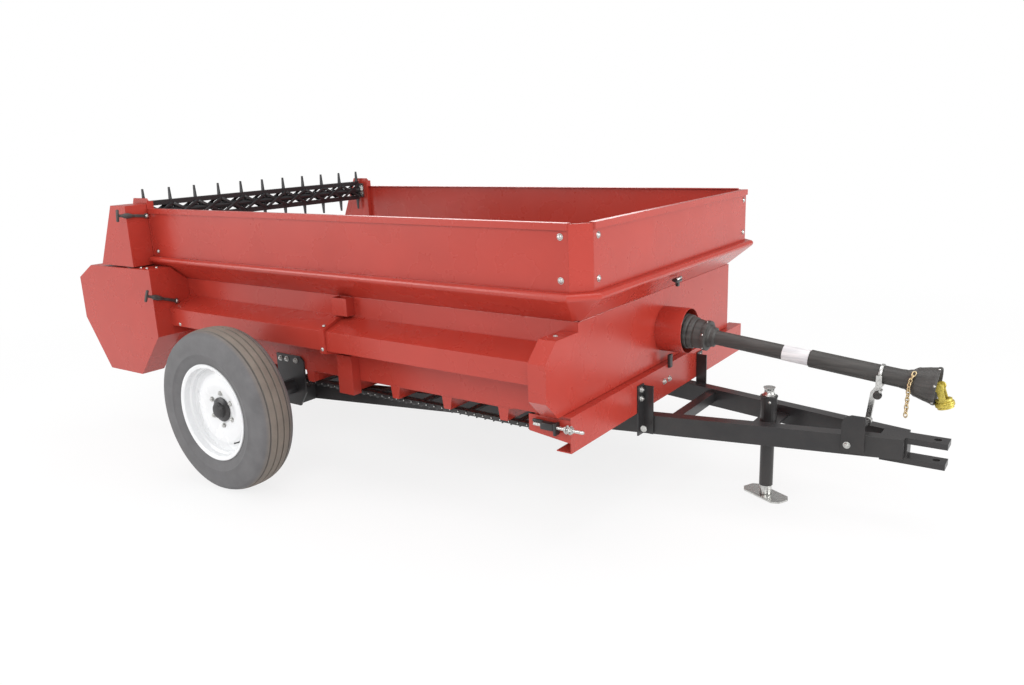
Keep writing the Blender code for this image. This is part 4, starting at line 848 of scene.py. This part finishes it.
def latch(name, grip, hook, out):
    """Rubber draw latch between its grip and its hook: strap, T-grip, buckle and end loop."""
    grip, hook, out = Vector(grip), Vector(hook), Vector(out).normalized()
    along = hook - grip
    length = along.length
    run = along.normalized()
    across = run.cross(out).normalized()
    basis = Matrix((run, across, out)).transposed().to_4x4()
    parts = [
        block("strap", (length * 0.5, 0, 0.006), (length * 0.86, 0.014, 0.007), 0.0022),
        lathe("buckle", [(0.0035, length * 0.14), (0.009, length * 0.2), (0.0125, length * 0.28),
                         (0.0125, length * 0.4), (0.0085, length * 0.5), (0.006, length * 0.56)],
              (0, 0, 0.006), X, 20),
        block("grip", (0.004, 0, 0.006), (0.013, 0.058, 0.013), 0.005),
        lathe("loop", [(0.0125, 0), (0.0125, 0.005), (0.0095, 0.007)], (length - 0.002, 0, 0), Z, 20),
    ]
    piece = joined(name, parts)
    piece.data.transform(Matrix.Translation(grip) @ basis)
    return done(piece, "plastic", "chassis")


class SPREADER_OT_latches(SpreaderOperator, bpy.types.Operator):
    """Makes the rubber draw latches of the guards, and the front cover's catch, peg and stop"""
    bl_idname = "spreader.latches"
    bl_label = "Latches"

    def execute(self, context):
        screws = []
        for name, guard, grip_y, grip_z, hook_y, hook_z in (
            ("latch_upper", "upper_guard", -0.921, 0.211, -0.768, 0.196),
            ("latch_lower", "lower_guard", -0.917, -0.161, -0.758, -0.214),
        ):
            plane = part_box(guard)[1].x - BOX_FRONT + LEAF
            grip, hook = at(plane, grip_y, grip_z), at(plane, hook_y, hook_z)
            latch(name, grip, hook, X)
            screws.append(towards(hook + X * 0.0065, X))
        scatter("latch_screws", carriage_bolt(0.0075), screws, "zinc", "chassis")

        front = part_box("flare_front")[1].x
        catch = joined("cover_catch", [
            block("plate", (front + 0.006, -0.074, LEDGE - 0.062), (0.022, 0.052, 0.01), 0.002, (0, 0.35, 0)),
            block("tongue", (front + 0.002, -0.06, LEDGE - 0.076), (0.012, 0.018, 0.026), 0.002)])
        done(catch, "black", "chassis")
        peg = lathe("cover_catch_peg",
                    [(0.0075, 0), (0.0085, 0.002), (0.0085, 0.008), (0.006, 0.01), (0.006, 0.028),
                     (0.005, 0.03)],
                    (front + 0.006, -0.084, LEDGE - 0.06), (0.3, 1, 0.3), 18)
        done(peg, "zinc", "chassis")
        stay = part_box("front_channel")
        stop = block("cover_stop", (stay[1].x + 0.004, -0.02, stay[1].z + 0.012),
                     (0.012, 0.026, 0.055), 0.002)
        done(stop, "black", "chassis")
        return {"FINISHED"}


class SPREADER_OT_apron_links(SpreaderOperator, bpy.types.Operator):
    """Makes the links and rivets of both apron chains"""
    bl_idname = "spreader.apron_links"
    bl_label = "Apron chain links"

    def execute(self, context):
        pitch = context.scene.spreader_fittings.pitch
        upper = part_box("apron_upper")
        front = middle("apron_shaft_front").x
        rear = middle("apron_shaft_rear").x
        chain_thick, slat = 0.014, 0.01
        top = upper[1].z - slat + 0.001 - chain_thick / 2
        centre_z = middle("apron_shaft_front").z
        radius = top - centre_z
        length = front - rear
        bend = math.pi * radius
        total = 2 * (length + bend)
        count = round(total / pitch)
        bars = []
        for y in (-0.015, 0.015):
            bars.append(block("bar", (0, y, 0), (pitch * 0.94, 0.004, 0.0165), 0.0012))
        barrel = [(0.0066, -0.0145), (0.0072, -0.012), (0.0072, 0.012), (0.0066, 0.0145)]
        bars.append(lathe("barrel", barrel, (-pitch * 0.4, 0, 0), Y, 10))
        bars.append(block("hook", (pitch * 0.4, 0, 0.0075), (0.005, 0.027, 0.015), 0.0012, (0, 0.45, 0)))
        link = joined("link", bars)
        reach = (upper[1].y - upper[0].y) / 2 - 0.015
        matrices = []
        for i in range(count):
            s = total * i / count
            if s < length:
                place, angle = Vector((rear + s, 0, top)), 0.0
            elif s < length + bend:
                angle = (s - length) / radius
                place = Vector((front + radius * math.sin(angle), 0, centre_z + radius * math.cos(angle)))
            elif s < 2 * length + bend:
                place, angle = Vector((front - (s - length - bend), 0, centre_z - radius)), math.pi
            else:
                angle = math.pi + (s - 2 * length - bend) / radius
                place = Vector((rear + radius * math.sin(angle), 0, centre_z + radius * math.cos(angle)))
            for y in (-reach, reach):
                matrices.append(Matrix.Translation(place + Y * y) @ Matrix.Rotation(angle, 4, "Y"))
        rivets = joined("rivets", [
            lathe("rivet", [(0.0034, 0), (0.003, 0.0012), (0.0012, 0.0018)],
                  (-pitch * 0.4, sign * 0.0171, 0), Y * sign, 8)
            for sign in (-1, 1)])
        scatter("apron_links", link, matrices, "black", "chassis")
        scatter("apron_rivets", rivets, matrices, "zinc", "chassis")
        return {"FINISHED"}


class SPREADER_OT_tensioner(SpreaderOperator, bpy.types.Operator):
    """Makes the apron take-up: threaded rod, nuts and block"""
    bl_idname = "spreader.tensioner"
    bl_label = "Apron take-up"

    def execute(self, context):
        low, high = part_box("chain_tensioner")
        y, z = low.y + 0.013, (low.z + high.z) / 2
        thread = []
        x = low.x + 0.075
        while x < high.x - 0.004:
            thread += [(0.0058, x), (0.0064, x + 0.001), (0.0058, x + 0.002)]
            x += 0.0022
        profile = [(0.0062, low.x + 0.002), (0.0062, low.x + 0.07)] + thread + [(0.0045, high.x)]
        rod = lathe("take_up_rod", profile, (0, y, z), X, 16)
        places = [towards((low.x + 0.15, y, z), X), towards((low.x + 0.137, y, z), -X)]
        scatter("take_up_nuts", hex_bolt(0.0115), places, "zinc", "chassis")
        done(rod, "zinc", "chassis", "chain_tensioner")
        stay = joined("take_up_block", [
            block("body", (low.x + 0.06, y + 0.002, z), (0.052, 0.026, 0.026), 0.003),
            block("tail", (low.x + 0.016, y + 0.006, z + 0.01), (0.044, 0.01, 0.012), 0.003),
            block("ear", (low.x + 0.092, y + 0.003, z - 0.006), (0.01, 0.03, 0.044), 0.002)])
        done(stay, "black", "chassis")
        return {"FINISHED"}


class SPREADER_OT_yoke(SpreaderOperator, bpy.types.Operator):
    """Makes the front universal joint with its quick-release collar"""
    bl_idname = "spreader.yoke"
    bl_label = "Front yoke"

    def execute(self, context):
        centre = Vector(JOINTS["pto_coupler_spin"]["pos_m"])
        axis = Vector(JOINTS["pto_coupler_spin"]["axis"]).normalized()
        centre = centre - axis * 0.01
        down = Matrix.Rotation(math.radians(66), 3, "Y") @ axis
        flat = down.cross(Y).normalized()
        inner = lathe("inner_stub", [(0.0185, -0.1), (0.0185, -0.02), (0.015, -0.016), (0.015, -0.004)],
                      centre, axis, 40)
        ears = []
        for sign in (-1, 1):
            ear = lathe("ear", [(0.0145, 0.0185), (0.0155, 0.02), (0.0155, 0.025), (0.0135, 0.027),
                                (0.008, 0.0272)],
                        centre, Y * sign, 28)
            arm = block("arm", (0.022, 0, 0), (0.05, 0.0078, 0.022), 0.0028)
            basis = Matrix((down, Y, flat)).transposed().to_4x4()
            arm.data.transform(Matrix.Translation(centre + Y * sign * 0.0222) @ basis)
            ears += [ear, arm]
        cross = lathe("cross", [(0.0085, -0.027), (0.0085, 0.027)], centre, Y, 24)
        hub = lathe("yoke_hub", [
            (0.0255, 0.042), (0.0275, 0.0435), (0.0275, 0.049), (0.0262, 0.0505), (0.0262, 0.052),
            (0.031, 0.053), (0.0318, 0.0545), (0.0318, 0.057), (0.03, 0.058), (0.0318, 0.059),
            (0.0318, 0.066), (0.03, 0.068), (0.027, 0.069), (0.027, 0.075), (0.0255, 0.076),
            (0.018, 0.076), (0.018, 0.042)],
            centre, down, 48, closed=True)
        yoke = joined("front_yoke", [inner, cross, hub] + ears)
        done(yoke, "yellow", "pto_coupler", "pto_yoke")
        return {"FINISHED"}


class SPREADER_OT_guard_chain(SpreaderOperator, bpy.types.Operator):
    """Hangs the guard's short restraint chain from the front bell"""
    bl_idname = "spreader.guard_chain"
    bl_label = "Guard chain"

    def execute(self, context):
        pivot, axis = shaft_frame()
        deselect()
        bpy.ops.mesh.primitive_torus_add(
            major_radius=0.0066, minor_radius=0.0021, major_segments=16, minor_segments=8)
        link = bpy.context.object
        bpy.ops.object.mode_set(mode="EDIT")
        bpy.ops.mesh.select_all(action="SELECT")
        bpy.ops.transform.resize(value=(1.45, 1, 1), center_override=(0, 0, 0))
        bpy.ops.object.mode_set(mode="OBJECT")
        settle(link, "link")
        smooth(link, 60)
        start = pivot + axis * on_shaft(0.868) + Y * -0.038 + Z * 0.036
        around = [start, start + Vector((-0.006, -0.012, -0.016)), start + Vector((-0.01, -0.018, -0.036))]
        bottom = start + Vector((-0.014, -0.02, -0.168))
        route = around + [bottom]
        lengths = [(b - a).length for a, b in zip(route, route[1:])]
        matrices = []
        for i in range(int(sum(lengths) / LINK_PITCH)):
            s = i * LINK_PITCH
            for (a, b), length in zip(zip(route, route[1:]), lengths):
                if s <= length:
                    break
                s -= length
            run = (b - a).normalized()
            turn = X.rotation_difference(run).to_matrix().to_4x4()
            roll = Matrix.Rotation(math.pi / 2 * (i % 2) + 0.4, 4, "X")
            matrices.append(Matrix.Translation(a + run * min(s, length)) @ turn @ roll)
        scatter("guard_chain", link, matrices, "gold", "pto_front_half")
        return {"FINISHED"}


class SPREADER_OT_rest(SpreaderOperator, bpy.types.Operator):
    """Makes the clamp band on the front tube and the shaft rest's knob and clip"""
    bl_idname = "spreader.rest"
    bl_label = "Shaft rest fittings"

    def execute(self, context):
        low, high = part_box("pto_rest_arm")
        pivot, axis = shaft_frame()
        along = (high.x - 0.01 - pivot.x) / axis.x
        tube = 0.0336
        band = lathe("clamp_band", [
            (tube, along - 0.006), (tube + 0.0035, along - 0.0055), (tube + 0.004, along - 0.004),
            (tube + 0.004, along + 0.004), (tube + 0.0035, along + 0.0055), (tube, along + 0.006)],
            pivot, axis, 56, closed=True)
        done(band, "zinc", "pto_front_half")
        hub = Vector((high.x - 0.016, -0.0092, high.z - 0.079))
        knob = lathe("rest_knob", [(0.006, 0), (0.0115, 0.001), (0.015, 0.004), (0.015, 0.013),
                                   (0.012, 0.017), (0.0085, 0.018), (0.008, 0.0165),
                                   (0.002, 0.0165)], hub, -Y, 28)
        done(knob, "plastic", "shaft_rest")
        clip = joined("rest_clip", [
            lathe("pin", [(0.004, 0), (0.004, 0.024), (0.0052, 0.025), (0.0052, 0.029)],
                  hub + Vector((0.012, 0, 0.02)), -Y, 16),
            block("lug", hub + Vector((0.002, -0.004, 0.03)), (0.022, 0.008, 0.04), 0.0015, (0, 0.12, 0))])
        done(clip, "zinc", "shaft_rest")
        return {"FINISHED"}


class SPREADER_OT_beater_braces(SpreaderOperator, bpy.types.Operator):
    """Makes the crossed flat braces between the upper beater's bars"""
    bl_idname = "spreader.beater_braces"
    bl_label = "Beater braces"

    def execute(self, context):
        pin = Vector(JOINTS["beater_upper_spin"]["pos_m"])
        half, bays, reach = 0.722, 10, 0.036
        bay = 2 * half / bays
        length, lean = math.hypot(bay - 0.012, 2 * reach), math.atan2(2 * reach, bay - 0.012)
        parts = []
        for side in (-1, 1):
            for turn in (-1, 1):
                place = (side * (0.0195 + 0.0018 * turn), 0, 0)
                parts.append(block("brace", place, (0.0032, length, 0.015), 0.0008, (turn * lean, 0, 0)))
        cross = joined("cross", parts)
        places = [Matrix.Translation(pin + Y * (-half + bay * (i + 0.5))) for i in range(bays)]
        scatter("beater_upper_braces", cross, places, "black", "beater_upper_rotor")
        return {"FINISHED"}


class SPREADER_OT_jack(SpreaderOperator, bpy.types.Operator):
    """Makes the jack's leg with its collar, its flared head, and the barrel's band and screw"""
    bl_idname = "spreader.jack"
    bl_label = "Jack"

    def execute(self, context):
        low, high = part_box("jack_leg")
        x, y = (low.x + high.x) / 2, (low.y + high.y) / 2
        leg_radius = (high.y - low.y) / 2
        leg = lathe("jack_leg_tube", [(leg_radius, 0.044), (leg_radius, high.z)], (x, y, 0), Z, 56)
        done(leg, "black", "jack_stand", "jack_leg")
        boot = lathe("jack_leg_collar", [
            (0.0215, 0.0064), (0.0232, 0.009), (0.0225, 0.044), (0.02, 0.044)], (x, y, 0), Z, 48)
        done(boot, "zinc", "jack_stand")
        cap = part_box("jack_cap")
        base = cap[0].z
        head = lathe("jack_head", [
            (0.026, base), (0.0265, base + 0.003), (0.0215, base + 0.008), (0.0185, base + 0.014),
            (0.018, base + 0.022), (0.0195, base + 0.028), (0.0225, base + 0.032), (0.0225, base + 0.0337),
            (0.012, cap[1].z - 0.0002)],
            (x, y, 0), Z, 48)
        done(head, "zinc", "chassis", "jack_cap")
        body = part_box("jack_body")
        sleeve = lathe("jack_barrel_band", [
            (0.0312, body[1].z - 0.004), (0.033, body[1].z - 0.0035), (0.0335, body[1].z - 0.001),
            (0.0325, body[1].z + 0.0006), (0.027, body[1].z + 0.0008), (0.027, body[1].z + 0.0002)],
            (x, y, 0), Z, 48, closed=True)
        done(sleeve, "black", "chassis")
        screw = towards((x + 0.012, y - 0.0287, body[1].z - 0.02), (0.4, -1, 0))
        scatter("jack_screws", carriage_bolt(0.0045), [screw], "zinc", "chassis")
        return {"FINISHED"}


class SPREADER_OT_stage(SpreaderOperator, bpy.types.Operator):
    """Sets the floor, the world, the soft boxes and the camera"""
    bl_idname = "spreader.stage"
    bl_label = "Stage"

    def execute(self, context):
        stage = context.scene.spreader_stage
        scene = context.scene
        scene.view_settings.view_transform = "Standard"
        deselect()
        bpy.ops.mesh.primitive_grid_add(x_subdivisions=8, y_subdivisions=8, size=60, location=(0, 0, -LEAF))
        floor = settle(context.object, "studio_floor")
        floor.data.materials.append(self.floor_material())
        self.world(scene)
        for name, place, size, power in (
            ("key", (3.0, -5.5, 4.6), 4.0, 215),
            ("side", (-4.5, -5.0, 2.6), 3.5, 150),
            ("top", (0.0, 0.0, 6.5), 5.0, 190),
            ("front", (6.5, 0.5, 2.2), 3.5, 210),
            ("back", (-4.0, 5.5, 4.0), 4.0, 150),
        ):
            deselect()
            bpy.ops.object.light_add(type="AREA", location=place)
            lamp = context.object
            lamp.name = name
            lamp.data.size = size
            lamp.data.energy = power * stage.lamps
            lamp.rotation_euler = (Vector((0, 0, 0.6)) - Vector(place)).to_track_quat("-Z", "Y").to_euler()
        self.camera(scene, stage)
        return {"FINISHED"}

    def floor_material(self):
        """Pale floor: mostly plain white to the camera and to reflections, keeping the shadow."""
        material, tree, shader = new_material("Studio floor", 0.9)
        shader.inputs["Base Color"].default_value = (0.86, 0.86, 0.86, 1)
        shader.inputs["Specular IOR Level"].default_value = 0.0
        glow = tree.nodes.new("ShaderNodeEmission")
        glow.inputs["Color"].default_value = (1, 1, 1, 1)
        path = tree.nodes.new("ShaderNodeLightPath")
        seen = math_node(tree, "MAXIMUM", path.outputs["Is Camera Ray"], path.outputs["Is Glossy Ray"])
        away = tree.nodes.new("ShaderNodeVectorMath")
        away.operation = "LENGTH"
        tree.links.new(tree.nodes.new("ShaderNodeTexCoord").outputs["Object"], away.inputs[0])
        plainness = span(tree, away.outputs["Value"], 1.6, 5.0, 0.82, 1.0)
        mix = tree.nodes.new("ShaderNodeMixShader")
        tree.links.new(math_node(tree, "MULTIPLY", seen, plainness), mix.inputs[0])
        tree.links.new(shader.outputs[0], mix.inputs[1])
        tree.links.new(glow.outputs[0], mix.inputs[2])
        tree.links.new(mix.outputs[0], tree.nodes["Material Output"].inputs["Surface"])
        return material

    def world(self, scene):
        """White to the camera, softer as a light and in reflections."""
        world = bpy.data.worlds.new("Studio")
        scene.world = world
        world.use_nodes = True
        tree = world.node_tree
        background = tree.nodes["Background"]
        background.inputs["Color"].default_value = (0.84, 0.83, 0.83, 1)
        background.inputs["Strength"].default_value = 0.5
        plain = tree.nodes.new("ShaderNodeBackground")
        plain.inputs["Color"].default_value = (1, 1, 1, 1)
        path = tree.nodes.new("ShaderNodeLightPath")
        mix = tree.nodes.new("ShaderNodeMixShader")
        tree.links.new(path.outputs["Is Camera Ray"], mix.inputs[0])
        tree.links.new(background.outputs[0], mix.inputs[1])
        tree.links.new(plain.outputs[0], mix.inputs[2])
        tree.links.new(mix.outputs[0], tree.nodes["World Output"].inputs["Surface"])

    def camera(self, scene, stage):
        azimuth, elevation = stage.azimuth, stage.elevation
        flat = math.cos(elevation)
        forward = Vector((-math.sin(azimuth) * flat, math.cos(azimuth) * flat, -math.sin(elevation)))
        level = Vector((math.cos(azimuth), math.sin(azimuth), 0))
        drop = forward.cross(level)
        right = level * math.cos(stage.roll) + drop * math.sin(stage.roll)
        down = drop * math.cos(stage.roll) - level * math.sin(stage.roll)
        data = bpy.data.cameras.new("camera")
        camera = bpy.data.objects.new("camera", data)
        scene.collection.objects.link(camera)
        camera.matrix_world = Matrix((right, -down, -forward)).transposed().to_4x4()
        camera.location = at(*stage.place)
        data.lens = stage.lens
        data.clip_end = 100
        scene.camera = camera


class SPREADER_PT_panel(bpy.types.Panel):
    """Lists the spreader's operators and settings"""
    bl_idname = "SPREADER_PT_panel"
    bl_label = "Manure spreader"
    bl_space_type = "VIEW_3D"
    bl_region_type = "UI"
    bl_category = "Spreader"

    def draw(self, context):
        for group in ("spreader_finishes", "spreader_fittings", "spreader_stage"):
            settings = getattr(context.scene, group)
            column = self.layout.column()
            for name in settings.__annotations__:
                column.prop(settings, name)
        for operator in OPERATORS:
            self.layout.operator(operator.bl_idname)


OPERATORS = (
    SPREADER_OT_finishes, SPREADER_OT_tyres, SPREADER_OT_rims, SPREADER_OT_shroud, SPREADER_OT_drive_shaft,
    SPREADER_OT_yoke, SPREADER_OT_guard_chain, SPREADER_OT_rest, SPREADER_OT_beater_braces,
    SPREADER_OT_jack, SPREADER_OT_apron_links,
    SPREADER_OT_tensioner, SPREADER_OT_latches, SPREADER_OT_bolts, SPREADER_OT_stage,
)
SETTINGS = {
    "spreader_finishes": SpreaderFinishes, "spreader_fittings": SpreaderFittings,
    "spreader_stage": SpreaderStage,
}


def register():
    for name, group in SETTINGS.items():
        bpy.utils.register_class(group)
        setattr(bpy.types.Scene, name, bpy.props.PointerProperty(type=group))
    for operator in OPERATORS:
        bpy.utils.register_class(operator)
    bpy.utils.register_class(SPREADER_PT_panel)


def unregister():
    bpy.utils.unregister_class(SPREADER_PT_panel)
    for operator in reversed(OPERATORS):
        bpy.utils.unregister_class(operator)
    for name, group in SETTINGS.items():
        delattr(bpy.types.Scene, name)
        bpy.utils.unregister_class(group)


def main():
    register()
    for operator in OPERATORS:
        group, name = operator.bl_idname.split(".")
        getattr(getattr(bpy.ops, group), name)()


if __name__ == "__main__":
    main()
